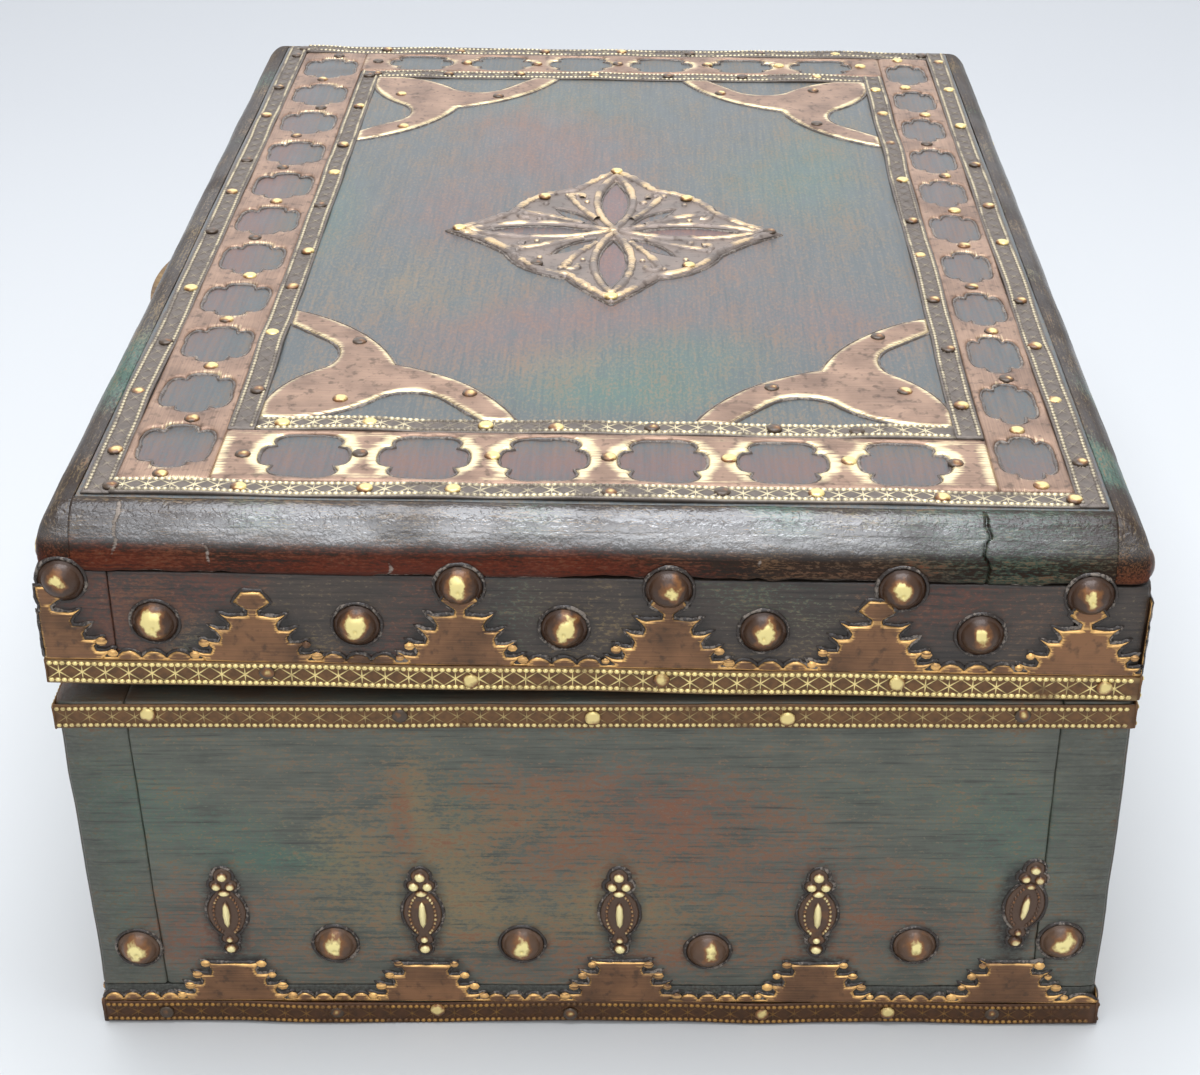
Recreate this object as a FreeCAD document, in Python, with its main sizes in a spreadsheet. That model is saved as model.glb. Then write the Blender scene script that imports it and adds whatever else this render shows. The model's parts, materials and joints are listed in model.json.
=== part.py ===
"""Wooden storage box with a hinged lid, brass strips, pierced brass plates and domed nails.

X runs along the box, the front with its hasp is at -Y, the hinges are at +Y and Z is up.
The origin is the middle of the underside, and every length is in millimetres.
"""
import FreeCAD
import Part
import math
import os
import re
from types import SimpleNamespace

Vector = FreeCAD.Vector
Placement = FreeCAD.Placement
Rotation = FreeCAD.Rotation

DRIVING_SIZES = [
    ("case_length", 312, "case, outside, along X"),
    ("case_width", 228, "case, outside, along Y"),
    ("wall_height", 79, "case walls, above the bottom board"),
    ("bottom_thickness", 11, "bottom board"),
    ("board_thickness", 15, "case walls and lid rim"),
    ("rim_height", 28, "lid rim"),
    ("lid_thickness", 13, "lid panel and the edging round it"),
    ("edging_width", 8, "edging, seen from above"),
    ("edging_round", 7.5, "radius of the edging's rounded top"),
    ("lid_ajar", 1.2, "degrees that the warped lid stands open"),
    ("strip_width", 6, "embossed brass strips"),
    ("strip_thickness", 0.8, "embossed brass strips"),
    ("strip_reveal", 0.5, "bare wood between a strip and the board's edge"),
    ("fret_thickness", 0.6, "pierced brass plates"),
    ("trim_gap", 0.5, "gap between brass trim and a hinge leaf"),
    ("top_inset", 9, "outer strips on the lid top, from the lid's edge"),
    ("border_front", 19.5, "pierced border on the lid top, front"),
    ("border_back", 15.5, "pierced border on the lid top, back"),
    ("border_right", 22.5, "pierced border on the lid top, right end"),
    ("border_left", 17, "pierced border on the lid top, left end"),
    ("foil_length", 19.8, "border cut-out, along the border"),
    ("foil_pitch", 25.2, "border cut-outs, centre to centre"),
    ("foil_margin", 1.3, "brass left beside a border cut-out"),
    ("spandrel_reach", 56, "corner plate, from the corner to an arm's tip"),
    ("medallion_length", 91, "medallion, along X"),
    ("medallion_width", 87, "medallion, along Y"),
    ("medallion_shift", 7.75, "medallion's middle, right of the middle of its field"),
    ("cresting_base", 1.2, "plain foot that links the stepped merlons"),
    ("merlon_width", 27, "stepped merlon at its foot"),
    ("merlon_top", 12, "stepped merlon at its top"),
    ("merlon_height", 12, "stepped merlon, from its foot"),
    ("merlon_hook", 1.3, "overhang of a merlon's steps"),
    ("lid_first", 1.5, "first lid merlon, from the left corner"),
    ("lid_pitch", 42.8, "lid merlons, centre to centre"),
    ("case_first", 31, "first case merlon, from the left corner"),
    ("case_pitch", 44.2, "case merlons, centre to centre"),
    ("finial_height", 25, "spindle above a case merlon"),
    ("finial_width", 8.7, "spindle above a case merlon"),
    ("finial_gap", 2, "between a merlon and its spindle"),
    ("dome_diameter", 9, "domed nail's head"),
    ("dome_height", 3, "domed nail's head"),
    ("shank_side", 1.8, "domed nail's square shank"),
    ("shank_length", 9, "domed nail's square shank"),
    ("case_dome_level", 23.5, "case domed nails, above the floor"),
    ("lid_dome_level", 16, "lower lid domed nails, above the rim's foot"),
    ("lid_dome_drop", 2.2, "upper lid domed nails, below the panel"),
    ("nail_side", 3, "cut nail at its head"),
    ("nail_length", 30, "cut nails in the corners"),
    ("floor_nail_length", 20, "cut nails in the bottom board"),
    ("hinge_offset", 85, "hinges, from the middle of the back"),
    ("hinge_width", 36, "hinge leaf"),
    ("leaf_height", 15, "hinge leaf, from the pin"),
    ("leaf_thickness", 1.2, "hinge leaf and hasp plate"),
    ("knuckle_radius", 2, "hinge and hasp knuckles"),
    ("pin_radius", 0.9, "hinge and hasp pins"),
    ("pin_clearance", 0.05, "running clearance round a pin"),
    ("knuckle_gap", 0.4, "between neighbouring knuckles"),
    ("knuckle_seat", 0.2, "between a knuckle and the wood behind it"),
    ("hasp_axis_level", 23, "hasp pin, above the rim's foot"),
    ("hasp_plate_width", 24, "plate that carries the hasp"),
    ("hasp_plate_height", 12, "plate that carries the hasp, from the pin"),
    ("hasp_width", 38, "hasp"),
    ("hasp_length", 53, "hasp, below its pin"),
    ("hasp_thickness", 1.2, "hasp"),
    ("hasp_bulge", 3, "how far the hasp's middle stands out"),
    ("hasp_standoff", 1.6, "between the hasp's knuckle and its bulge"),
    ("slot_width", 6, "slot in the hasp"),
    ("slot_height", 15, "slot in the hasp"),
    ("staple_drop", 16, "staple's middle, below the case's top"),
    ("staple_rod", 1.4, "radius of the staple's rod"),
    ("staple_spread", 10, "staple's legs, centre to centre"),
    ("staple_neck", 4, "straight part of the staple's legs"),
    ("staple_depth", 10, "staple's legs inside the board"),
    ("rest_gap", 0.3, "between the hasp and the staple it leans on"),
]

doc = FreeCAD.newDocument("storage_box")
sheet = doc.addObject("Spreadsheet::Sheet", "sizes")
for row, (alias, number, meaning) in enumerate(DRIVING_SIZES, start=1):
    sheet.set(f"A{row}", meaning)
    sheet.set(f"B{row}", str(number))
    sheet.setAlias(f"B{row}", alias)
doc.recompute()
mm = SimpleNamespace(**{alias: float(sheet.get(alias)) for alias, _, _ in DRIVING_SIZES})

# Levels and faces that many pieces share, as formulas of the driving sizes
HALF_LENGTH = "case_length / 2"
HALF_WIDTH = "case_width / 2"
CASE_TOP = "bottom_thickness + wall_height"
LID_UNDER = f"{CASE_TOP} + rim_height"
LID_TOP = f"{LID_UNDER} + lid_thickness"
PIN_OUT = "knuckle_radius + knuckle_seat"

half_length = mm.case_length / 2
half_width = mm.case_width / 2
case_top = mm.bottom_thickness + mm.wall_height
lid_under = case_top + mm.rim_height
lid_top = lid_under + mm.lid_thickness
pin_out = mm.knuckle_radius + mm.knuckle_seat

# The lid turns about the hinge pins and rests a little open at the front
OPENING_AXIS = Vector(-1, 0, 0)
hinge_point = Vector(0, half_width + pin_out, case_top)
LID_AT_REST = Placement(Vector(), Rotation(OPENING_AXIS, mm.lid_ajar), hinge_point)
CASE_AT_REST = Placement()

UP = Vector(0, 0, 1)
# Each side of the box: its left corner seen from outside, the way along it, the way out, and its length
SIDES = {
    "front": (Vector(-half_length, -half_width), Vector(1, 0, 0), Vector(0, -1, 0), mm.case_length),
    "right": (Vector(half_length, -half_width), Vector(0, 1, 0), Vector(1, 0, 0), mm.case_width),
    "back": (Vector(half_length, half_width), Vector(-1, 0, 0), Vector(0, 1, 0), mm.case_length),
    "left": (Vector(-half_length, half_width), Vector(0, -1, 0), Vector(-1, 0, 0), mm.case_width),
}
LONG_SIDES = ("front", "back")

nodes = []


def formula(text):
    """The formula with each size name read from the sheet."""
    return re.sub(r"[a-z][a-z_]*", lambda word: "sizes." + word.group(), text)


def add_node(label, pieces, rest):
    """A named sub-part that holds the pieces and stands where its body rests."""
    group = doc.addObject("Part::Compound", label)
    group.Label = label
    group.Links = pieces
    group.Placement = rest
    nodes.append(group)


def add_shape(name, shape):
    """A document object for a shape made in code."""
    piece = doc.addObject("Part::Feature", name)
    piece.Shape = shape
    return piece


def box(name, low, high):
    """A box between two corners, each given as three formulas."""
    piece = doc.addObject("Part::Box", name)
    for side, start, end in zip(("Length", "Width", "Height"), low, high):
        piece.setExpression(side, formula(f"({end}) - ({start})"))
    for axis, start in zip("xyz", low):
        piece.setExpression("Placement.Base." + axis, formula(start))
    return piece


def rod(name, start, radius, length):
    """A round rod along X from a start point, given as formulas."""
    piece = doc.addObject("Part::Cylinder", name)
    piece.Placement = Placement(Vector(), Rotation(Vector(0, 1, 0), 90))
    piece.setExpression("Radius", formula(radius))
    piece.setExpression("Height", formula(length))
    for axis, place in zip("xyz", start):
        piece.setExpression("Placement.Base." + axis, formula(place))
    return piece


def fuse(name, pieces):
    """Several pieces joined into one solid."""
    joined = doc.addObject("Part::MultiFuse", name)
    joined.Shapes = pieces
    joined.Refine = True
    return joined


def cut(name, base, tool):
    """One piece with another taken out of it."""
    result = doc.addObject("Part::Cut", name)
    result.Base = base
    result.Tool = tool
    return result


def plate(name, face, thickness_name, place):
    """A flat outline made into a plate of a named thickness."""
    piece = doc.addObject("Part::Extrusion", name)
    piece.Base = add_shape(name + "_outline", face)
    piece.DirMode = "Custom"
    piece.Dir = Vector(0, 0, 1)
    piece.Solid = True
    piece.setExpression("LengthFwd", formula(thickness_name))
    piece.Placement = place
    return piece


def side_place(side, along=0, level=0):
    """The place on a side's face where x runs along it, y runs up and z points out."""
    corner, direction, out, _ = SIDES[side]
    return Placement(corner + direction * along + UP * level, Rotation(direction, UP, out, "XYZ"))


def polygon(points):
    """A closed outline of straight edges."""
    corners = [Vector(*point) for point in points]
    return Part.makePolygon(corners + corners[:1])


def arc(start, middle, end):
    """A circular edge through three points of the XY plane."""
    return Part.Arc(Vector(*start), Vector(*middle), Vector(*end)).toShape()


def line(start, end):
    """A straight edge between two points of the XY plane."""
    return Part.makeLine(Vector(*start), Vector(*end))


CURVE_CUTS = 5  # straight chisel cuts along each curve of a pierced plate


def chiselled(edges):
    """A closed outline along the edges, in straight cuts wherever they curve."""
    points = []
    for edge in edges:
        cuts = 1 if isinstance(edge.Curve, Part.Line) else CURVE_CUTS
        points += edge.discretize(cuts + 1)[:-1]
    return polygon(points)


def pierced(outline, openings):
    """A flat face with openings."""
    return Part.makeFace([outline] + openings, "Part::FaceMakerBullseye")


def merlon_places(side, first, pitch):
    """Where the merlons stand along a side, from its left corner."""
    length = SIDES[side][3]
    count = int((length - first) // pitch) + 1
    return [first + pitch * number for number in range(count)]


def hinge_gaps(margin):
    """The stretches of the back that the hinges cover, measured from its left corner."""
    reach = mm.hinge_width / 2 + margin
    centres = [half_length - mm.hinge_offset, half_length + mm.hinge_offset]
    return [(centre - reach, centre + reach) for centre in centres]


# Boards: the long boards run past the end boards, which stand between them

def board_ring(prefix, low, high):
    """Four boards on edge round the box: name to box."""
    inner_length = f"{HALF_LENGTH} - board_thickness"
    inner_width = f"{HALF_WIDTH} - board_thickness"
    corners = {
        "front": ((f"-({HALF_LENGTH})", f"-({HALF_WIDTH})"), (HALF_LENGTH, f"-({inner_width})")),
        "back": ((f"-({HALF_LENGTH})", inner_width), (HALF_LENGTH, HALF_WIDTH)),
        "left": ((f"-({HALF_LENGTH})", f"-({inner_width})"), (f"-({inner_length})", inner_width)),
        "right": ((inner_length, f"-({inner_width})"), (HALF_LENGTH, inner_width)),
    }
    return {side: box(f"{prefix}_{side}_blank", start + (low,), end + (high,))
            for side, (start, end) in corners.items()}


case_blanks = board_ring("case", "bottom_thickness", CASE_TOP)
rim_blanks = board_ring("rim", CASE_TOP, LID_UNDER)
bottom_blank = box("bottom_blank", (f"-({HALF_LENGTH})", f"-({HALF_WIDTH})", "0"),
                   (HALF_LENGTH, HALF_WIDTH, "bottom_thickness"))

# Domed nails: a hammered head of six facets on a square shank that is forged to a point

DOME_FACETS = 6
DOME_SHOULDER = (0.7, 0.74)  # shares of the head's radius and height where its facets break


def faceted(outlines):
    """A solid with flat faces, from the corners of each face."""
    return Part.makeSolid(Part.makeShell([Part.Face(polygon(corners)) for corners in outlines]))


def pointed(base, tip):
    """The faces of a pyramid: one triangle on each side of its base."""
    return [(start, end, tip) for start, end in zip(base, base[1:] + base[:1])]


def dome_ring(share, rise):
    """The corners of one ring of the domed head, at a share of its radius and height."""
    radius = mm.dome_diameter / 2 * share
    turn = 2 * math.pi / DOME_FACETS
    return [(radius * math.cos(turn * step), radius * math.sin(turn * step), mm.dome_height * rise)
            for step in range(DOME_FACETS)]


def square_pin(side, depth):
    """A square pin that tapers to a point, in from the face along -Z."""
    half = side / 2
    base = [(-half, -half, 0), (half, -half, 0), (half, half, 0), (-half, half, 0)]
    return faceted([base] + pointed(base, (0, 0, -depth)))


rim, shoulder = dome_ring(1, 0), dome_ring(*DOME_SHOULDER)
dome_sides = [(rim[step - 1], rim[step], shoulder[step], shoulder[step - 1]) for step in range(DOME_FACETS)]
dome_head = faceted([rim] + dome_sides + pointed(shoulder, (0, 0, mm.dome_height)))
dome_shank = square_pin(mm.shank_side, mm.shank_length)
dome_nail = dome_head.fuse(dome_shank)


def dome_clear(side):
    """How near to a corner a domed nail may stand, so that shanks never meet there."""
    if side in LONG_SIDES:
        return mm.shank_length + mm.dome_diameter / 2
    return mm.dome_diameter / 2 + 1


def keep_on(side, along):
    """A place along a side, moved in from the corners if it has to be."""
    clear = dome_clear(side)
    return min(max(along, clear), SIDES[side][3] - clear)


# The photographed end: how far each nail was set from its even place, along and up, as shares of its head
CASE_SET = {("right", 0): (0.1, -0.15), ("right", 1): (0.2, 0), ("right", 3): (-0.25, -0.2),
            ("right", 5): (-0.45, 0.15)}
UPPER_SET = {("right", 4): (0.5, 0.1)}
LOWER_SET = {("right", 0): (0.1, 0), ("right", 3): (-0.2, 0)}
AS_SPACED = (0, 0)


def set_by_eye(side, number, along, level, settings):
    """A nail's place along a side and its level, moved as far as the photograph shows."""
    shift, lift = settings.get((side, number), AS_SPACED)
    return keep_on(side, along) + shift * mm.dome_diameter, level + lift * mm.dome_diameter


def case_dome_places(side):
    """One nail between each two merlons and one at each corner, where it clears the spindles."""
    merlons = merlon_places(side, mm.case_first, mm.case_pitch)
    between = [merlons[0] - mm.case_pitch / 2] + [along + mm.case_pitch / 2 for along in merlons]
    spots = [set_by_eye(side, number, along, mm.case_dome_level, CASE_SET)
             for number, along in enumerate(between)]
    room = (mm.finial_width + mm.dome_diameter) / 2 + mm.trim_gap
    return [side_place(side, spot, level) for spot, level in spots
            if all(abs(spot - along) > room for along in merlons)]


LOST_NAIL = ("right", 1)  # one upper nail has come out of the photographed end


def lid_dome_places(side):
    """One nail over each merlon at the panel's joint, and one between each two merlons below."""
    merlons = merlon_places(side, mm.lid_first, mm.lid_pitch)
    upper_level = mm.rim_height - mm.lid_dome_drop
    radius = mm.dome_diameter / 2
    spots = [set_by_eye(side, number, along, upper_level, UPPER_SET) for number, along in enumerate(merlons)
             if (side, number) != LOST_NAIL]
    spots += [set_by_eye(side, number, along + mm.lid_pitch / 2, mm.lid_dome_level, LOWER_SET)
              for number, along in enumerate(merlons)
              if along + mm.lid_pitch / 2 < SIDES[side][3] - dome_clear(side)]
    covered = []
    if side == "back":
        covered = [gap + (mm.leaf_height,) for gap in hinge_gaps(mm.trim_gap)]
    if side == "front":
        covered = [(half_length - mm.hasp_width / 2, half_length + mm.hasp_width / 2, mm.rim_height)]
    return [side_place(side, along, case_top + level) for along, level in spots
            if not any(start - radius < along < end + radius and level - radius < top
                       for start, end, top in covered)]


case_domes = [place for side in SIDES for place in case_dome_places(side)]
lid_domes = [place for side in SIDES for place in lid_dome_places(side)]


def copies(shape, places):
    """The same shape at many places, as separate solids."""
    return Part.makeCompound([shape.transformed(place.toMatrix()) for place in places])


# Cut nails: square wedges driven flush, through the long boards into the ends and up through the bottom

def corner_places(levels):
    """Nails at both ends of the front and back, into the end boards."""
    inset = mm.board_thickness / 2
    return [side_place(side, along, level) for side in LONG_SIDES
            for along in (inset, SIDES[side][3] - inset) for level in levels]


def floor_places():
    """Nails up into the walls, under every other merlon of the long sides and the middle one of the ends."""
    inset = mm.board_thickness / 2
    places = []
    for side, (corner, direction, out, _) in SIDES.items():
        merlons = merlon_places(side, mm.case_first, mm.case_pitch)
        chosen = merlons[::3] if side in LONG_SIDES else merlons[2:3]
        upward = Rotation(Vector(1, 0, 0), 180)
        places += [Placement(corner + direction * along - out * inset, upward) for along in chosen]
    return places


free_wall = case_top - mm.case_dome_level
case_nail_levels = [mm.case_dome_level + free_wall * share for share in (0.3, 0.75)]
rim_nail_level = case_top + (mm.lid_dome_level + mm.rim_height - mm.lid_dome_drop) / 2
corner_nail = square_pin(mm.nail_side, mm.nail_length)
floor_nail = square_pin(mm.nail_side, mm.floor_nail_length)
case_nails = Part.makeCompound([copies(corner_nail, corner_places(case_nail_levels)),
                                copies(floor_nail, floor_places())])
rim_nails = copies(corner_nail, corner_places([rim_nail_level]))

# Staple: a bent rod, forged eight-sided, whose two legs are driven into the front board

ROD_FACETS = 8
staple_level = case_top - mm.staple_drop
staple_bend = mm.staple_spread / 2
staple_nose = mm.staple_neck + staple_bend + mm.staple_rod


def staple_point(out, rise):
    """A point of the staple, out from the front face and up from its middle."""
    return Vector(0, -half_width - out, staple_level + rise)


def staple_section(rise):
    """The forged rod cut across, at one end of its bend."""
    middle = staple_point(mm.staple_neck, rise)
    turns = [2 * math.pi * facet / ROD_FACETS for facet in range(ROD_FACETS)]
    return Part.Face(polygon([middle + Vector(math.cos(turn), 0, math.sin(turn)) * mm.staple_rod for turn in turns]))


staple_bow = staple_section(-staple_bend).revolve(staple_point(mm.staple_neck, 0), Vector(-1, 0, 0), 180)
staple_legs = [staple_section(rise).extrude(Vector(0, mm.staple_neck + mm.staple_depth, 0))
               for rise in (-staple_bend, staple_bend)]
staple = staple_bow.multiFuse(staple_legs)

# Boards with their nail holes

case_holes = add_shape("case_holes", Part.makeCompound(
    [copies(dome_shank, case_domes), case_nails] + staple_legs))
lid_holes = add_shape("lid_holes", Part.makeCompound([copies(dome_shank, lid_domes), rim_nails]))

add_node("bottom_board", [cut("bottom_drilled", bottom_blank, case_holes)], CASE_AT_REST)
for side in SIDES:
    add_node(f"case_{side}_board", [cut(f"case_{side}_drilled", case_blanks[side], case_holes)], CASE_AT_REST)
    add_node(f"lid_{side}_rim", [cut(f"rim_{side}_drilled", rim_blanks[side], lid_holes)], LID_AT_REST)
add_node("case_board_nails", [add_shape("case_nails", case_nails)], CASE_AT_REST)
add_node("lid_board_nails", [add_shape("rim_nails", rim_nails)], LID_AT_REST)
add_node("case_dome_nails", [add_shape("case_domes", copies(dome_nail, case_domes))], CASE_AT_REST)
add_node("lid_dome_nails", [add_shape("lid_domes", copies(dome_nail, lid_domes))], LID_AT_REST)
add_node("hasp_staple", [add_shape("staple", staple)], CASE_AT_REST)

# Lid top: one rounded slab, divided into a panel and the four edgings nailed round it

slab = box("lid_slab", (f"-({HALF_LENGTH})", f"-({HALF_WIDTH})", LID_UNDER), (HALF_LENGTH, HALF_WIDTH, LID_TOP))
doc.recompute()
rounded_slab = doc.addObject("Part::Fillet", "lid_slab_rounded")
rounded_slab.Base = slab
rounded_slab.Edges = [(number, mm.edging_round, mm.edging_round)
                      for number, edge in enumerate(slab.Shape.Edges, start=1)
                      if all(abs(corner.Z - lid_top) < 1e-6 for corner in edge.Vertexes)]


def slab_part(label, low, high):
    """The part of the rounded slab that lies between two corners in plan."""
    zone = box(label + "_zone", low + (LID_UNDER,), high + (LID_TOP,))
    piece = doc.addObject("Part::Common", label + "_cut")
    piece.Base = rounded_slab
    piece.Tool = zone
    add_node(label, [piece], LID_AT_REST)


PANEL_X = f"{HALF_LENGTH} - edging_width"
PANEL_Y = f"{HALF_WIDTH} - edging_width"
slab_part("lid_panel", (f"-({PANEL_X})", f"-({PANEL_Y})"), (PANEL_X, PANEL_Y))
slab_part("lid_front_edging", (f"-({HALF_LENGTH})", f"-({HALF_WIDTH})"), (HALF_LENGTH, f"-({PANEL_Y})"))
slab_part("lid_back_edging", (f"-({HALF_LENGTH})", PANEL_Y), (HALF_LENGTH, HALF_WIDTH))
slab_part("lid_left_edging", (f"-({HALF_LENGTH})", f"-({PANEL_Y})"), (f"-({PANEL_X})", PANEL_Y))
slab_part("lid_right_edging", (PANEL_X, f"-({PANEL_Y})"), (HALF_LENGTH, PANEL_Y))

# Embossed strips on the walls: the long strips wrap over the ends of the short ones

STRIP_OUT_X = f"{HALF_LENGTH} + strip_thickness"
STRIP_OUT_Y = f"{HALF_WIDTH} + strip_thickness"
HINGE_REACH = "(hinge_width / 2 + trim_gap)"
WHOLE_SIDE = [(f"-({STRIP_OUT_X})", STRIP_OUT_X)]
ROUND_HINGES = [(f"-({STRIP_OUT_X})", f"-(hinge_offset + {HINGE_REACH})"),
                (f"-(hinge_offset - {HINGE_REACH})", f"hinge_offset - {HINGE_REACH}"),
                (f"hinge_offset + {HINGE_REACH}", STRIP_OUT_X)]


def wall_strips(label, low, back_spans, rest):
    """A ring of strips at one level: four nodes."""
    high = f"{low} + strip_width"
    faces = {"front": (f"-({STRIP_OUT_Y})", f"-({HALF_WIDTH})"), "back": (HALF_WIDTH, STRIP_OUT_Y),
             "left": (f"-({STRIP_OUT_X})", f"-({HALF_LENGTH})"), "right": (HALF_LENGTH, STRIP_OUT_X)}
    for side, (inner, outer) in faces.items():
        name = label.format(side)
        if side in LONG_SIDES:
            spans = back_spans if side == "back" else WHOLE_SIDE
            strips = [box(f"{name}_{number}", (start, inner, low), (end, outer, high))
                      for number, (start, end) in enumerate(spans)]
        else:
            strips = [box(name + "_0", (inner, f"-({HALF_WIDTH})", low), (outer, HALF_WIDTH, high))]
        add_node(name, strips, rest)


wall_strips("case_{}_base_strip", "strip_reveal", WHOLE_SIDE, CASE_AT_REST)
wall_strips("case_{}_top_strip", f"{CASE_TOP} - strip_reveal - strip_width", ROUND_HINGES, CASE_AT_REST)
wall_strips("lid_{}_rim_strip", f"{CASE_TOP} + strip_reveal", ROUND_HINGES, LID_AT_REST)

# Cresting: a band of stepped merlons that stands on the strip below it

MERLON_STEPS = 4


def merlon(along):
    """A stepped outline whose treads hook outwards."""
    rise = mm.merlon_height / MERLON_STEPS
    narrowing = (mm.merlon_width - mm.merlon_top) / 2 / (MERLON_STEPS - 1)
    right = []
    for step in range(MERLON_STEPS):
        reach = mm.merlon_width / 2 - narrowing * step
        right += [(reach - mm.merlon_hook, rise * step), (reach, rise * (step + 1))]
    left = [(-reach, level) for reach, level in reversed(right)]
    return Part.Face(polygon([(along + reach, level) for reach, level in right + left]))


def rectangle(start, end, height):
    """A flat rectangle that stands on the x axis."""
    return Part.Face(polygon([(start, 0), (end, 0), (end, height), (start, height)]))


def cresting(side, merlons, gaps):
    """The band's face along one side: a low foot with merlons on it, left out at the gaps."""
    length = SIDES[side][3]
    reach = mm.merlon_width / 2
    standing = [along for along in merlons
                if not any(start - reach < along < end + reach for start, end in gaps)]
    face = rectangle(0, length, mm.cresting_base).multiFuse([merlon(along) for along in standing])
    face = face.common(rectangle(0, length, mm.merlon_height))
    return face.removeSplitter()


strip_top = mm.strip_reveal + mm.strip_width
hasp_gap = [(half_length - mm.hasp_plate_width / 2, half_length + mm.hasp_plate_width / 2)]
for side in SIDES:
    case_face = cresting(side, merlon_places(side, mm.case_first, mm.case_pitch), [])
    add_node(f"case_{side}_cresting", [plate(f"case_{side}_fret", case_face, "fret_thickness",
                                             side_place(side, 0, strip_top))], CASE_AT_REST)
    covered = {"front": hasp_gap, "back": hinge_gaps(mm.trim_gap)}.get(side, [])
    lid_face = cresting(side, merlon_places(side, mm.lid_first, mm.lid_pitch), covered)
    if side == "back":
        for start, end in covered:
            lid_face = lid_face.cut(rectangle(start, end, mm.merlon_height))
    add_node(f"lid_{side}_cresting", [plate(f"lid_{side}_fret", lid_face, "fret_thickness",
                                            side_place(side, 0, case_top + strip_top))], LID_AT_REST)

# Finials: a pressed spindle over each merlon of the case

# One side of a spindle from its foot to its tip, as shares of its width and height
SPINDLE_BALL = (0.21, 0.09)
SPINDLE_FOOT = (0.13, 0.19)
SPINDLE_BELLY = ((0.5, 0.38), (0.5, 0.56))
SPINDLE_NECK = (0.15, 0.77)
SPINDLE_TREFOIL = (0.32, 0.87)


def spindle():
    """A pointed oval with a ball below and a trefoil above."""
    right = [(mm.finial_width * across, mm.finial_height * up)
             for across, up in (SPINDLE_BALL, SPINDLE_FOOT, *SPINDLE_BELLY, SPINDLE_NECK, SPINDLE_TREFOIL)]
    left = [(-across, up) for across, up in reversed(right)]
    return Part.Face(polygon([(0, 0)] + right + [(0, mm.finial_height)] + left))


spindle_level = strip_top + mm.merlon_height + mm.finial_gap
finials = []
for side in SIDES:
    for number, along in enumerate(merlon_places(side, mm.case_first, mm.case_pitch)):
        finials.append(plate(f"finial_{side}_{number}", spindle(), "fret_thickness",
                             side_place(side, along, spindle_level)))
add_node("case_finials", finials, CASE_AT_REST)

# Lid top: outer strips, pierced borders, inner strips, corner plates and a medallion, all on the panel

TOP_X = f"{HALF_LENGTH} - top_inset"
TOP_Y = f"{HALF_WIDTH} - top_inset"
BORDER_X = f"{TOP_X} - strip_width"
BORDER_Y = f"{TOP_Y} - strip_width"
FIELD = {"left": f"-({BORDER_X} - border_left)", "right": f"{BORDER_X} - border_right",
         "front": f"-({BORDER_Y} - border_front)", "back": f"{BORDER_Y} - border_back"}


def top_strips(label, left, right, front, back):
    """A frame of four flat strips inside a rectangle: the long ones run to its corners."""
    high = f"{LID_TOP} + strip_thickness"
    spans = {
        "front": ((left, front), (right, f"{front} + strip_width")),
        "back": ((left, f"{back} - strip_width"), (right, back)),
        "left": ((left, f"{front} + strip_width"), (f"{left} + strip_width", f"{back} - strip_width")),
        "right": ((f"{right} - strip_width", f"{front} + strip_width"), (right, f"{back} - strip_width")),
    }
    for side, (low_corner, high_corner) in spans.items():
        name = label.format(side)
        add_node(name, [box(name + "_0", low_corner + (LID_TOP,), high_corner + (high,))], LID_AT_REST)


top_strips("lid_{}_outer_strip", f"-({TOP_X})", TOP_X, f"-({TOP_Y})", TOP_Y)
top_strips("lid_{}_inner_strip", FIELD["left"], FIELD["right"], FIELD["front"], FIELD["back"])

FOIL_LOBES = 6
FOIL_CUSP = 0.82
FOIL_SQUARENESS = 0.75
LOBE_SHOULDER = math.radians(13)


def foil(centre_x, centre_y, half_x, half_y):
    """A six-lobed opening, with two shoulders to each lobe."""
    lobe = 2 * math.pi / FOIL_LOBES
    points = []
    for number in range(FOIL_LOBES):
        middle = number * lobe
        corners = ((middle - lobe / 2, FOIL_CUSP), (middle - LOBE_SHOULDER, 1), (middle + LOBE_SHOULDER, 1))
        for turn, share in corners:
            across, up = math.cos(turn), math.sin(turn)
            points.append((centre_x + half_x * share * math.copysign(abs(across) ** FOIL_SQUARENESS, across),
                           centre_y + half_y * share * math.copysign(abs(up) ** FOIL_SQUARENESS, up)))
    return polygon(points)


def border(left, right, front, back):
    """A flat border with a row of openings along its longer way."""
    outline = polygon([(left, front), (right, front), (right, back), (left, back)])
    length, width = right - left, back - front
    along_x = length > width
    run = max(length, width)
    across = min(length, width) / 2 - mm.foil_margin
    count = int((run - 2 * mm.foil_margin - mm.foil_length) // mm.foil_pitch) + 1
    middle_x, middle_y = (left + right) / 2, (front + back) / 2
    openings = []
    for number in range(count):
        shift = (number - (count - 1) / 2) * mm.foil_pitch
        if along_x:
            openings.append(foil(middle_x + shift, middle_y, mm.foil_length / 2, across))
        else:
            openings.append(foil(middle_x, middle_y + shift, across, mm.foil_length / 2))
    return pierced(outline, openings)


border_x = half_length - mm.top_inset - mm.strip_width
border_y = half_width - mm.top_inset - mm.strip_width
field_left, field_right = -(border_x - mm.border_left), border_x - mm.border_right
field_front, field_back = -(border_y - mm.border_front), border_y - mm.border_back
on_panel = Placement(Vector(0, 0, lid_top), Rotation())
border_faces = {
    "front": border(-border_x, border_x, -border_y, field_front),
    "back": border(-border_x, border_x, field_back, border_y),
    "left": border(-border_x, field_left, field_front, field_back),
    "right": border(field_right, border_x, field_front, field_back),
}
add_node("lid_border_frets", [plate(f"border_{side}", face, "fret_thickness", on_panel)
                              for side, face in border_faces.items()], LID_AT_REST)

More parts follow.
